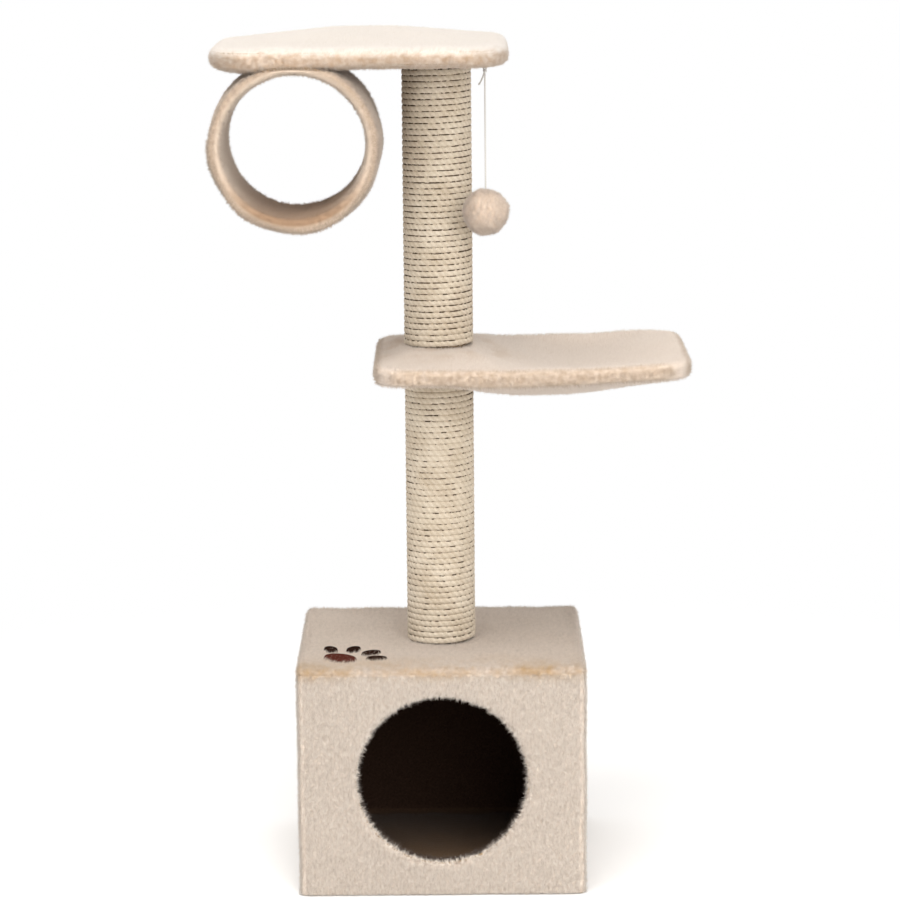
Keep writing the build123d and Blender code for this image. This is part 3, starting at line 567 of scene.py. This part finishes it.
outline, ways = rounded_outline(*inset_box(PLATFORM, SKIN), [r - SKIN for r in PLATFORM_CORNERS], 220)
platform = Surface(
    pillow(outline, ways, np.array(PLATFORM_MIDDLE), platform_top, platform_bottom, PLATFORM_ROLL, full=0.66),
    wrap_columns=True,
)

# Hammock

def hammock_rise(x):
    """The frame rises evenly from the board to its far end."""
    return FRAME_RISE * np.clip((x - FRAME_START) / FRAME_RUN, 0, 1)


def deck_slope(plan):
    """0 on the flat middle of the board, 1 at its rim and beyond, with soft ridges between.

    The slopes run evenly across and along, and the fifth root of their fifth powers joins them.
    """
    x, y = plan[:, 0], plan[:, 1]
    across = np.clip((np.abs(y) - DECK_HALF) / DECK_RUN_DEEP, 0, 1)
    along = np.clip(np.maximum((DECK_LEFT - x) / DECK_RUN_LEFT, (x - DECK_RIGHT) / DECK_RUN_RIGHT), 0, 1)
    return np.clip((across ** 5 + along ** 5) ** 0.2, 0, 1)


def sling_sag(plan, start, skew, bend, spread):
    """How far the sling hangs between its ends, from 0 on the border to 1: a sine along, a power across."""
    x, y = plan[:, 0], plan[:, 1]
    share = np.clip((x - start) / (SLING_END - start), 0, 1)
    across = 1 - np.clip(np.abs(y) / SLING_HALF, 0, 1) ** spread
    return np.sin(np.pi * share ** skew) ** bend * across


def hammock_top(plan):
    """Flat round the post, falling to the border, a little lower at the back, and hollow in the sling."""
    low_back = smooth((plan[:, 1] - 0.05) / 0.09) * (0.0015 + 0.35 * hammock_rise(plan[:, 0]))
    level = HAMMOCK_TOP - DECK_FALL * deck_slope(plan) + hammock_rise(plan[:, 0]) - low_back
    hollow = SLING_HOLLOW * sling_sag(plan, start=0.079, skew=0.85, bend=1.3, spread=3)
    return level - hollow + uneven(plan, 0.0004, 0.08, 8)


def hammock_bottom(plan):
    """Cloth under the board and its frame, then the wide belly of the sling."""
    belly = SLING_BELLY * sling_sag(plan, start=0.020, skew=0.80, bend=0.75, spread=5)
    return HAMMOCK_UNDERSIDE + hammock_rise(plan[:, 0]) - belly + uneven(plan, 0.0004, 0.06, 9)


outline, ways = rounded_outline(*inset_box(HAMMOCK, SKIN), [HAMMOCK_CORNER - SKIN] * 4, 240)
hammock = Surface(
    pillow(outline, ways, np.array(HAMMOCK_MIDDLE), hammock_top, hammock_bottom, HAMMOCK_ROLL, inner=34),
    wrap_columns=True,
)

# Cave

half_w, half_d = CAVE[0] / 2 - SKIN, CAVE[1] / 2 - SKIN
skin_corner = CAVE_CORNER - SKIN
cave_floor, cave_roof = 1.6 * MM, CAVE[2] - SKIN


def bulge(points):
    """The plush panels are a little uneven: their points in plan move in and out with noise."""
    points[..., :2] *= (1 + PANEL_SWELL * waves(points, 0.11, 21))[..., None]
    return points


def cave_side_points():
    """Right, back and left faces with the four round upright edges: one outline at each height."""
    tuck = half_w - skin_corner - 6 * MM
    route = [np.array([(tuck, -half_d)])]
    for x, y, start in ((1, -1, 270), (1, 1, 0), (-1, 1, 90), (-1, -1, 180)):
        angle = np.radians(start + np.linspace(0, 90, 12))
        middle = np.array((x * (half_w - skin_corner), y * (half_d - skin_corner)))
        route.append(middle + skin_corner * np.column_stack([np.cos(angle), np.sin(angle)]))
    route = np.concatenate([*route, [(-tuck, -half_d)]])
    along = run_length(route)
    spots = np.union1d(np.linspace(0, along[-1], 240), along)
    outline = np.column_stack([np.interp(spots, along, route[:, k]) for k in (0, 1)])
    heights = np.linspace(cave_floor, cave_roof - CAVE_LIP, 70)
    return bulge(np.stack([np.column_stack([outline, np.full(len(outline), h)]) for h in heights]))


cave_sides = Surface(cave_side_points(), flip=True)


def rectangle(left, right, low, high, across, up):
    """Points round an upright rectangle from its lower left corner, evenly spaced on each side."""
    return np.concatenate([
        np.column_stack([np.linspace(left, right, across)[:-1], np.full(across - 1, low)]),
        np.column_stack([np.full(up - 1, right), np.linspace(low, high, up)[:-1]]),
        np.column_stack([np.linspace(right, left, across)[:-1], np.full(across - 1, high)]),
        np.column_stack([np.full(up - 1, left), np.linspace(high, low, up)[:-1]]),
    ])


def at_depth(ring, y):
    """An upright ring of places, across and up, as points at one depth."""
    return np.column_stack([ring[:, 0], np.full(len(ring), y), ring[:, 1]])


def cave_front_points():
    """Front face: rings from inside the round entrance, over its lip, out to the edges of the face.

    The rings keep the entrance's round inside, turn a quarter circle over the lip and then go over
    evenly to the rectangle.
    """
    rim = rectangle(-half_w + skin_corner, half_w - skin_corner, cave_floor, cave_roof - CAVE_LIP, 70, 56)
    centre = np.array((0, ENTRANCE_Z))
    way = unit(rim - centre)
    front = -half_d
    rows = []
    for depth in np.linspace(16 * MM, 6 * MM, 5):
        rows.append(at_depth(centre + way * (ENTRANCE + CAVE_LIP), front + depth))
    for angle in np.radians(np.linspace(0, 90, 6)):
        ring = centre + way * (ENTRANCE + CAVE_LIP + CAVE_LIP * (1 - math.cos(angle)))
        rows.append(at_depth(ring, front + CAVE_LIP * (1 - math.sin(angle))))
    start = centre + way * (ENTRANCE + 2 * CAVE_LIP)
    for share in np.linspace(0, 1, 26)[1:]:
        rows.append(at_depth(start + (rim - start) * share, front))
    return bulge(np.stack(rows))


cave_front = Surface(cave_front_points(), wrap_columns=True)


def cave_top_height(plan):
    """The roof is level and a little uneven."""
    return cave_roof + uneven(plan, 0.0006, 0.10, 23)


def cave_top_edge(plan):
    """Where the roll of the roof's edge ends, were it carried on to a half round."""
    return cave_top_height(plan) - 12 * MM


outline, ways = rounded_outline(-half_w, half_w, -half_d, half_d, [skin_corner] * 4, 260)
cave_top = Surface(
    pillow(outline, ways, np.zeros(2), cave_top_height, cave_top_edge, 5.5 * MM,
           inner=40, arc=8, lower=False, full=1.0),
    wrap_columns=True,
)


def lining_points():
    """Inside of the cave: rings from the round mouth over the front, along the walls to the back's middle."""
    width, depth, low, high = 160.2 * MM, 146.5 * MM, 15.2 * MM, 272 * MM
    rim = rectangle(-width, width, low, high, 40, 40)
    centre = np.array((0, ENTRANCE_Z))
    mouth = centre + unit(rim - centre) * (ENTRANCE + 4 * MM)
    rows = []
    for share in np.linspace(0, 1, 8):
        rows.append(at_depth(mouth + (rim - mouth) * share, -depth))
    for y in np.linspace(-depth, depth, 16)[1:]:
        rows.append(at_depth(rim, y))
    middle = np.array((0, (low + high) / 2))
    for share in np.linspace(1, 0, 14)[1:]:
        rows.append(at_depth(middle + (rim - middle) * share, depth))
    points = np.stack(rows)
    points += 0.0006 * waves(points, 0.05, 24)[..., None]
    return points


cave_lining = Surface(lining_points(), wrap_columns=True, flip=True)

# Tunnel

def tunnel_points():
    """A ring of cloth round the tube: outside, round the back rim, inside and round the front rim.

    The profile turns round the tunnel's axis. The cloth inside lies higher towards the floor, and
    what would rise above the ceiling is pressed down to a share of its height.
    """
    outer, inner = TUNNEL_OUTER - SKIN, TUNNEL_INNER + 1 * MM
    front, back = TUNNEL_ENDS[0] + SKIN, TUNNEL_ENDS[1] - SKIN
    middle, half = (outer + inner) / 2, (outer - inner) / 2
    turn = np.radians(np.linspace(90, -90, 12))
    profile = np.concatenate([
        np.column_stack([np.full(30, outer), np.linspace(front + half, back - half, 30)])[:-1],
        np.column_stack([middle + half * np.sin(turn), back - half + half * np.cos(turn)]),
        np.column_stack([np.full(30, inner), np.linspace(back - half, front + half, 30)])[1:-1],
        np.column_stack([middle - half * np.sin(turn), front + half - half * np.cos(turn)])[:-1],
    ])
    angle = np.linspace(0, TAU, 180, endpoint=False)
    x = TUNNEL_AXIS[0] + profile[:, :1] * np.cos(angle)
    z = TUNNEL_AXIS[1] + profile[:, :1] * np.sin(angle)
    y = np.broadcast_to(profile[:, 1:], x.shape)
    points = np.stack([x, y, z], axis=-1)
    inside = smooth((middle + half / 2 - profile[:, :1]) / half)
    points[..., 2] += TUNNEL_FLOOR_LIFT * inside * (1 - np.sin(angle)) / 2
    wobble = 0.0008 * (1 - 0.6 * inside) * waves(points, 0.09, 31)
    points[..., 0] += wobble * np.cos(angle)
    points[..., 2] += wobble * np.sin(angle)
    press, share = 0.004, 0.35
    high = points[..., 2]
    pressed = TUNNEL_CEILING - press + (high - TUNNEL_CEILING + press) * share
    points[..., 2] = np.where(high > TUNNEL_CEILING - press, pressed, high)
    return points


tunnel = Surface(tunnel_points(), wrap_rows=True, wrap_columns=True)

# Ball

def ball_points():
    """A stuffed ball of cloth: a sphere with a narrow seam drawn in round it, and noise."""
    angle = np.linspace(0, TAU, 90, endpoint=False)[None, :]
    lift = np.linspace(-90, 90, 61)[:, None] * math.pi / 180
    out, up = np.cos(lift), np.sin(lift)
    way = np.stack([out * np.cos(angle), out * np.sin(angle), up + 0 * angle], axis=-1)
    seam = way @ unit(np.array((0.55, -0.25, 0.8)))
    radius = BALL - 0.6 * MM - 0.5 * MM * np.exp(-(seam / 0.06) ** 2) + 0.6 * MM * waves(way * 0.03, 0.03, 41)
    return TOY + np.array((0, 0, BALL_Z)) + way * radius[..., None]


ball = Surface(ball_points(), wrap_columns=True, flip=True)

# Sisal rope

def rope_points(foot, seed):
    """Rope wound on the post: a round along a helix, with three strands as a sine round and along it.

    The section is fuller, taller and a little squarer than the rope's circle, so that the turns touch.
    Chance drifts the helix up and down and swells the rope.
    """
    fuller, taller, squarer = 1.05, 1.16, 0.7
    angle = np.arange(int(ROPE_TURNS * ROPE_STEPS) + 1) / ROPE_STEPS * TAU
    rng = np.random.default_rng(seed)
    drift = np.interp(angle, np.linspace(0, angle[-1], 200), rng.normal(0, 0.12 * MM, 200))
    swell = 1 + np.interp(angle, np.linspace(0, angle[-1], 900), rng.normal(0, 0.025, 900))
    swell[[0, -1]] = 0
    run = angle[:, None] * (TUBE + ROPE)
    around = np.linspace(-math.pi, math.pi, 12, endpoint=False)
    strand = np.sin(3 * around + run * (TAU / STRAND_PITCH))
    size = ROPE * fuller * swell[:, None] * (1 + 0.05 * strand)
    out, up = (np.sign(a) * np.abs(a) ** squarer for a in (np.cos(around), np.sin(around)))
    reach = TUBE + ROPE + size * out
    z = foot + 1 * MM + ROPE + ROPE_PITCH * angle[:, None] / TAU + drift[:, None] + taller * size * up
    points = np.stack([reach * np.cos(angle[:, None]), reach * np.sin(angle[:, None]), z], axis=-1)
    return points, np.repeat(run, len(around)), np.tile(around, len(run))


# Materials

cave_plush = plush("cave_plush", (0.87, 0.775, 0.685), (0.70, 0.585, 0.49), edge_seam_and_lip_shade,
                   grain=(0.9, 0.9, 1.8), grit=2.1, patch=0.08)
# painted shade: the roof's plush is a darker copy of the cave's plush, for the shade on the roof under the
# hammock and the platform
shaded_roof_plush = plush("shaded_roof_plush", (0.74, 0.635, 0.545), (0.66, 0.55, 0.455), roof_seam,
                   grain=(1.3, 1.3, 1), grit=1.9)
# painted light: the platform's plush is a paler copy of the cave's plush, for the strong light on its top
lit_platform_plush = plush("lit_platform_plush", (0.885, 0.82, 0.76), (0.80, 0.715, 0.63), rim_specks_and_painted_shade,
                       grit=0.2, patch=0.03)
hammock_plush = plush("hammock_plush", (0.88, 0.765, 0.67), (0.78, 0.655, 0.55), border_and_post_painted_shade,
                      grit=0.9, patch=0.08)
# painted shade: the tunnel's plush is a darker copy of the cave's plush, for the shade seen into its pile
shaded_tunnel_plush = plush("shaded_tunnel_plush", (0.65, 0.53, 0.43), (0.48, 0.37, 0.28), tunnel_painted_light_and_shade, grit=1.3)
ball_plush = plush("ball_plush", (0.88, 0.74, 0.63), (0.75, 0.60, 0.475), grit=1.3)


def lining_cloth():
    """Dark brown brushed lining; its floor is paler towards the entrance, painted light where light falls in.
    """
    sheet = Sheet("lining_cloth", 1.0, sheen=0.05, specular=0.05)
    nap = sheet.noise(0.003, 2.0)
    # painted light: the floor inside grows paler towards the front, where light comes in through the entrance
    floor = sheet.axis("Z").between(0.020, 0.016) * (sheet.axis("Y").between(0.15, -0.13) * 0.9 + 0.1)
    colour = sheet.blend((nap * 0.9).clamp(), (0.017, 0.008, 0.005), (0.048, 0.027, 0.018))
    colour = sheet.blend(floor, colour, (0.20, 0.12, 0.065))
    sheet.set("Base Color", colour)
    sheet.bump(nap, 0.0012)
    return sheet.material


def sisal():
    """Twisted sisal: three strands that wind along the rope, fine fibres, paler and darker lengths.

    Between the turns the rope is coloured dark in short dashes, painted shade in the gaps where the turns
    part, with more dashes higher up.
    """
    sheet = Sheet("sisal_rope", 0.85, sheen=0.05, specular=0.15)
    run, around = sheet.point("run"), sheet.point("around")
    strand = (around * 3.0 + run * (TAU / STRAND_PITCH)).maths("SINE")
    fibre = sheet.noise(0.0011, 3.0, (1, 1, 0.6))
    lengths = sheet.noise(0.03, 2.0)
    # painted shade: the strand sine makes the grooves between the strands darker than their crests
    shade = (strand * 0.12 + 0.5 + (fibre - 0.5) * 1.3 + (lengths - 0.5) * 0.8).clamp()
    colour = sheet.blend(shade, (0.43, 0.335, 0.23), (0.78, 0.695, 0.575))
    # painted shade: spots where the dark dashes fall, more of them above 0.6 m, on the upper post
    gap_shade_spots = sheet.noise(0.006, 2.0, (1, 1, 0.5)) + sheet.axis("Z").between(0.60, 0.75) * 0.07
    gap = abs(around).between(0.58, 0.84) * gap_shade_spots.between(0.535, 0.585)
    # painted shade in dark dashes between the turns
    sheet.set("Base Color", sheet.blend(gap, colour, (0.062, 0.033, 0.012)))
    sheet.bump(fibre, 0.0011)
    return sheet.material


def felt(name, dark, pale):
    """Brushed felt patch."""
    sheet = Sheet(name, 1.0, specular=0.0)
    nap = sheet.noise(0.0016, 3.0)
    sheet.set("Base Color", sheet.blend(nap, dark, pale))
    sheet.bump(nap, 0.0008)
    return sheet.material


def chipboard():
    """Particle board: chips of several browns pressed flat."""
    sheet = Sheet("chipboard", 0.8)
    cells = sheet.add("ShaderNodeTexVoronoi", {"Vector": sheet.place, "Scale": 420.0}, "Color")
    chips = sheet.add("ShaderNodeSeparateColor", (cells,))
    fine = sheet.noise(0.002, 4.0)
    shade = (chips * 0.7 + fine * 0.4).clamp()
    sheet.set("Base Color", sheet.blend(shade, (0.26, 0.16, 0.08), (0.60, 0.44, 0.27)))
    sheet.bump(fine, 0.0004)
    return sheet.material


def cardboard():
    """Brown wound paper with faint spiral seams."""
    sheet = Sheet("cardboard", 0.85)
    seam = (sheet.axis("Z") * 55.0 + sheet.axis("X") * 25.0).maths("FRACT").between(0.96, 1.0)
    fibre = sheet.noise(0.0022, 4.0, (1, 1, 0.4))
    colour = sheet.blend(fibre, (0.30, 0.20, 0.12), (0.46, 0.33, 0.21))
    sheet.set("Base Color", sheet.blend(seam * 0.5, colour, (0.16, 0.10, 0.06)))
    return sheet.material


def zinc():
    """Zinc-plated steel with a faint spangle."""
    sheet = Sheet("zinc", 0.35, metallic=1.0)
    spangle = sheet.noise(0.0025, 3.0)
    sheet.set("Base Color", sheet.blend(spangle, (0.48, 0.48, 0.47), (0.68, 0.68, 0.66)))
    sheet.set("Roughness", spangle * 0.25 + 0.25)
    return sheet.material


def black_paint():
    """Painted steel wire with small wear."""
    sheet = Sheet("black_paint", 0.4)
    wear = sheet.noise(0.006, 4.0)
    sheet.set("Base Color", sheet.blend(wear.between(0.55, 0.8), (0.02, 0.02, 0.02), (0.07, 0.07, 0.07)))
    sheet.set("Roughness", wear * 0.3 + 0.3)
    return sheet.material


def foam():
    """Fine pale foam."""
    sheet = Sheet("foam", 0.95)
    cells = sheet.noise(0.0012, 2.0)
    sheet.set("Base Color", sheet.blend(cells, (0.62, 0.60, 0.54), (0.78, 0.76, 0.70)))
    sheet.bump(cells, 0.0005)
    return sheet.material


def cord_thread():
    """Pale twisted cord: slanting plies along its length, a sine of height and width, which also darkens the
    grooves between the plies as painted shade.
    """
    sheet = Sheet("cord_thread", 0.7, sheen=0.1)
    ply = 3.2 * MM
    plies = (sheet.axis("Z") * (TAU / ply) + sheet.axis("X") * 2200.0).maths("SINE") * 0.5 + 0.5
    # painted shade: the ply sine darkens the grooves between the plies
    sheet.set("Base Color", sheet.blend(plies, (0.42, 0.40, 0.37), (0.74, 0.72, 0.68)))
    sheet.bump(plies, 0.0004)
    return sheet.material


# Pieces

DOWN = steady(0, 0, -1)
LEVEL_NAP = steady(0.3, 1, 0)
TUNNEL_NAP = steady(0, 0.8, -0.35)


def to_entrance(points, normals):
    """Nap that points into the round entrance."""
    return unit(np.array((0, 0, ENTRANCE_Z)) - points * np.array((1, 0, 1)))


def off_front(points):
    """The sides without the strips that are tucked under the front."""
    return ((points[:, 1] > 0) | (np.abs(points[:, 0]) > half_w - skin_corner)) * 1.0


def near_edge(points):
    """A narrow strip of the roof along its edges."""
    out = np.maximum(np.abs(points[:, 0]) - half_w, np.abs(points[:, 1]) - half_d)
    return (out > -9 * MM) * 1.0


def near_entrance(points):
    """A narrow ring round the entrance."""
    away = np.hypot(points[:, 0], points[:, 2] - ENTRANCE_Z) - ENTRANCE
    return (away < 12 * MM) * 1.0


show("platform_cloth", [platform], lit_platform_plush, replaces=["platform_cover"])
show("hammock_cloth", [hammock], hammock_plush, replaces=["hammock_board_cover", "hammock_sling"])
show("cave_side_cloth", [cave_sides, cave_front], cave_plush, replaces=["cave_side_cover"])
show("cave_top_cloth", [cave_top], shaded_roof_plush, replaces=["cave_top_cover"])
show("cave_lining_cloth", [cave_lining], lining_cloth(), replaces=["cave_lining"])
show("tunnel_cloth", [tunnel], shaded_tunnel_plush, replaces=["tunnel_cover", "tunnel_lining"])
show("ball_cloth", [ball], ball_plush, body="toy", replaces=["toy_ball_cover"])

pile("cave_front_pile", cave_front, 160000, cave_plush, DOWN, 101, lean=1.2, tuft=0.3, clump=5)
for part, count, seed in (("a", 190000, 102), ("b", 120000, 103)):
    pile(f"cave_side_pile_{part}", cave_sides, count, cave_plush, DOWN, seed, lean=1.2, tuft=0.3, clump=5,
         keep=off_front)
pile("cave_top_pile", cave_top, 180000, shaded_roof_plush, LEVEL_NAP, 104, lean=1.0, tuft=0.28, clump=6)
pile("edge_fringe", cave_top, 16000, shaded_roof_plush, steady(0, -0.6, 0.4), 113, lean=0.4, tuft=0.4, clump=5,
     rough=0.45, keep=near_edge)
for part, count, seed in (("a", 180000, 105), ("b", 100000, 106)):
    pile(f"platform_pile_{part}", platform, count, lit_platform_plush, LEVEL_NAP, seed, lean=1.3, tuft=0.08,
         clump=7, rough=0.25)
for part, count, seed in (("a", 180000, 107), ("b", 100000, 108)):
    pile(f"hammock_pile_{part}", hammock, count, hammock_plush, LEVEL_NAP, seed, lean=1.1, tuft=0.15, clump=7)
for part, count, seed in (("a", 105000, 109), ("b", 90000, 110)):
    pile(f"tunnel_pile_{part}", tunnel, count, shaded_tunnel_plush, TUNNEL_NAP, seed, length=5.5, tuft=0.4, clump=7)
pile("entrance_fringe", cave_front, 9000, cave_plush, to_entrance, 112, length=9.5, width=1.1, lean=1.6,
     tuft=0.8, keep=near_entrance)
pile("ball_pile", ball, 26000, ball_plush, steady(0.2, -0.3, -0.6), 111, length=5.2, width=0.5, lean=0.5,
     tuft=0.4, clump=6, body="toy", sink=0.6)

# Rope on the posts

sisal_rope = sisal()
for number, (post, foot) in enumerate(POSTS.items()):
    points, run, around = rope_points(foot, 50 + number)
    rope = Surface(points, wrap_columns=True)
    show(f"{post}_rope", [rope], sisal_rope, replaces=[f"{post}_post_rope_low", f"{post}_post_rope_high"],
         values={"run": run, "around": around})

# Paw pads

def paw_pad(x, y, long, wide, turn, thick):
    """A soft oval patch: ellipses from the sewn edge inwards, on a low dome that is flat in its middle."""
    angle = np.linspace(0, TAU, 48, endpoint=False)
    rows = []
    for share in np.linspace(1, 0, 9):
        u, v = long * share * np.cos(angle), wide * share * np.sin(angle)
        height = CAVE[2] - 2 * MM + thick * math.sqrt(max(0.0, 1 - share ** 8))
        rows.append(np.column_stack([
            x + u * math.cos(turn) - v * math.sin(turn),
            y + u * math.sin(turn) + v * math.cos(turn),
            np.full(48, height),
        ]))
    return Surface(np.stack(rows), wrap_columns=True, flip=True)


toes = []
for angle in np.radians(np.linspace(-3, 107, 4)):
    toes.append(paw_pad(PAW[0] + TOE_REACH * math.cos(angle), PAW[1] + TOE_REACH * math.sin(angle),
                        *TOE, angle, 4.0 * MM))
palm = paw_pad(*PAW, *PALM, math.radians(52), 4.3 * MM)
show("paw_toes", toes, felt("dark_felt", (0.010, 0.005, 0.003), (0.030, 0.014, 0.010)),
     replaces=["cave_paw_patch"])
show("paw_main", [palm], felt("red_felt", (0.045, 0.011, 0.008), (0.105, 0.032, 0.023)))

# Hanging toy

thread = cord_thread()


def tube(path, radius, sides=10):
    """Round tube along a path of points: circles square to the path, closed to a point at both ends."""
    path = np.concatenate([path[:1], path, path[-1:]])
    way = unit(np.gradient(path, axis=0))
    across = unit(np.cross(way, np.array((0.31, 0.83, 0.46))))
    other = np.cross(way, across)
    angle = np.linspace(0, TAU, sides, endpoint=False)
    radius = np.pad(np.broadcast_to(radius, len(path) - 2), 1)
    cosine, sine = (a[None, :, None] for a in (np.cos(angle), np.sin(angle)))
    ring = across[:, None, :] * cosine + other[:, None, :] * sine
    return path[:, None, :] + ring * radius[:, None, None]


curve = bpy.data.curves.new("toy_string", "CURVE")
curve.dimensions = "3D"
spline = curve.splines.new("NURBS")
route = [(60, -80, 1022.3), (60, -80, 1010.3), (60, -80, 854.5)]
spline.points.add(len(route) - 1)
for place, (x, y, z) in zip(spline.points, route):
    place.co = (x * MM, y * MM, z * MM, 1)
spline.order_u = 3
spline.use_endpoint_u = True
curve.bevel_depth = 0.95 * MM
curve.bevel_resolution = 3
string = bpy.data.objects.new("toy_string", curve)
bpy.context.scene.collection.objects.link(string)
dress(string, thread, "toy", ["toy_cord"])

# The knot is a trefoil, the loop over the staple an ellipse, and the tail a straight way with a sine's sag.
knot_at = TOY + np.array((0, 0, KNOT_Z))
turn = np.linspace(0, TAU, 91)
trefoil = np.stack([
    np.sin(turn) + 2 * np.sin(2 * turn),
    np.cos(turn) - 2 * np.cos(2 * turn),
    -1.4 * np.sin(3 * turn),
], axis=1)
knot_path = knot_at + trefoil * (0.62 * MM)
loop_turn = np.linspace(0, TAU, 41)[:, None]
loop_out = np.array((-0.6, 0.8, 0)) * (2.2 * MM)
loop_up = np.array((0, 0, 2.9 * MM))
loop_at = TOY + np.array((0, 0, STAPLE_Z - 1.0 * MM))
loop_path = loop_at + (np.cos(loop_turn) * loop_out + np.sin(loop_turn) * loop_up)
tail_share = np.linspace(0, 1, 24)[:, None]
tail_way = unit(np.array((-0.25, 0.76, -0.6))) * (28 * MM)
tail_sag = np.array((0, 0, -2.5 * MM))
tail_path = knot_at + tail_way * tail_share + tail_sag * np.sin(tail_share * 2.6)
tail_size = (0.95 + 0.25 * (tail_share[:, 0] > 0.9)) * MM
show("toy_knot_tied", [
    Surface(tube(knot_path, 0.85 * MM), wrap_columns=True, flip=True),
    Surface(tube(loop_path, 0.9 * MM), wrap_columns=True, flip=True),
    Surface(tube(tail_path, tail_size), wrap_columns=True, flip=True),
], thread, body="toy_loop", replaces=["toy_knot"])

# Materials of the solids that stay

SOLIDS = {
    chipboard(): ["cave_floor_board", "cave_top_board", "cave_left_wall", "cave_right_wall", "cave_back_wall",
                  "cave_front_wall", "hammock_board", "platform_board", "lower_post_foot_plug",
                  "lower_post_head_plug", "upper_post_foot_plug", "upper_post_head_plug"],
    cardboard(): ["lower_post_tube", "upper_post_tube", "tunnel_tube"],
    zinc(): ["cave_panel_screws", "post_inserts", "joining_stud", "top_stud",
             "platform_post_nut", "platform_tunnel_nuts", "tunnel_bolts", "tunnel_washers", "toy_staple",
             "hammock_clip_screws", "hammock_frame_clips"],
    black_paint(): ["hammock_frame", "base_bolt", "base_washer"],
    foam(): ["toy_ball_core"],
}
for material, nodes in SOLIDS.items():
    for node in nodes:
        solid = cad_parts[node]
        solid.data.materials.clear()
        solid.data.materials.append(material)

# Room, light and camera

floor_mesh = bpy.data.meshes.new("floor")
floor_mesh.from_pydata([(-8, -8, 0), (8, -8, 0), (8, 8, 0), (-8, 8, 0)], [], [(0, 1, 2, 3)])
floor = bpy.data.objects.new("floor", floor_mesh)
floor.location.z = -0.0005
bpy.context.scene.collection.objects.link(floor)
paper = Sheet("floor_paper", 0.9)
paper.set("Base Color", paper.blend(paper.noise(0.4), (0.93, 0.93, 0.93), (0.95, 0.95, 0.95)))
far = (paper.axis("X") ** 2.0 + paper.axis("Y") ** 2.0).between(0.2, 2.2)
paper.set("Alpha", 1 - far)
floor_mesh.materials.append(paper.material)

world = bpy.data.worlds.new("studio")
bpy.context.scene.world = world
world.use_nodes = True
world.node_tree.nodes.clear()
sky = Nodes(world.node_tree)
kinds = ("Camera", "Glossy", "Transmission")
straight = sum(sky.add("ShaderNodeLightPath", output=f"Is {kind} Ray") for kind in kinds)
seen = sky.add("ShaderNodeBackground", {"Color": (1, 1, 1, 1)})
lit = sky.add("ShaderNodeBackground", {"Color": (1.0, 0.985, 0.965, 1), "Strength": 0.95})
sky.add("ShaderNodeOutputWorld", (sky.add("ShaderNodeMixShader", (straight.clamp(), lit, seen)),))


def area_light(name, place, aim, size, power, colour):
    """A soft square light that faces a point."""
    data = bpy.data.lights.new(name, "AREA")
    data.size = size
    data.energy = power
    data.color = colour
    lamp = bpy.data.objects.new(name, data)
    lamp.location = place
    way = np.array(aim, dtype=float) - np.array(place, dtype=float)
    lamp.rotation_euler = (math.acos(-way[2] / np.linalg.norm(way)), 0, math.atan2(-way[0], way[1]))
    bpy.context.scene.collection.objects.link(lamp)


area_light("top_light", (-0.74, -1.67, 3.95), (0, 0, 0.8), 2.6, 82, (1.0, 0.98, 0.95))
area_light("front_light", (1.0, -3.1, 1.6), (0, 0, 0.5), 1.8, 59, (1.0, 0.99, 0.97))

camera_data = bpy.data.cameras.new("camera")
camera_data.sensor_width = 36
camera_data.lens = 131.46
camera_data.shift_y = -0.01756
camera_data.clip_end = 50
camera = bpy.data.objects.new("camera", camera_data)
camera.location = (0.0199, -4.12087, 1.31949)
camera.rotation_euler = (math.radians(90 - 10.4734), math.radians(0.5), 0)
bpy.context.scene.collection.objects.link(camera)
bpy.context.scene.camera = camera
bpy.context.scene.view_settings.view_transform = "Standard"
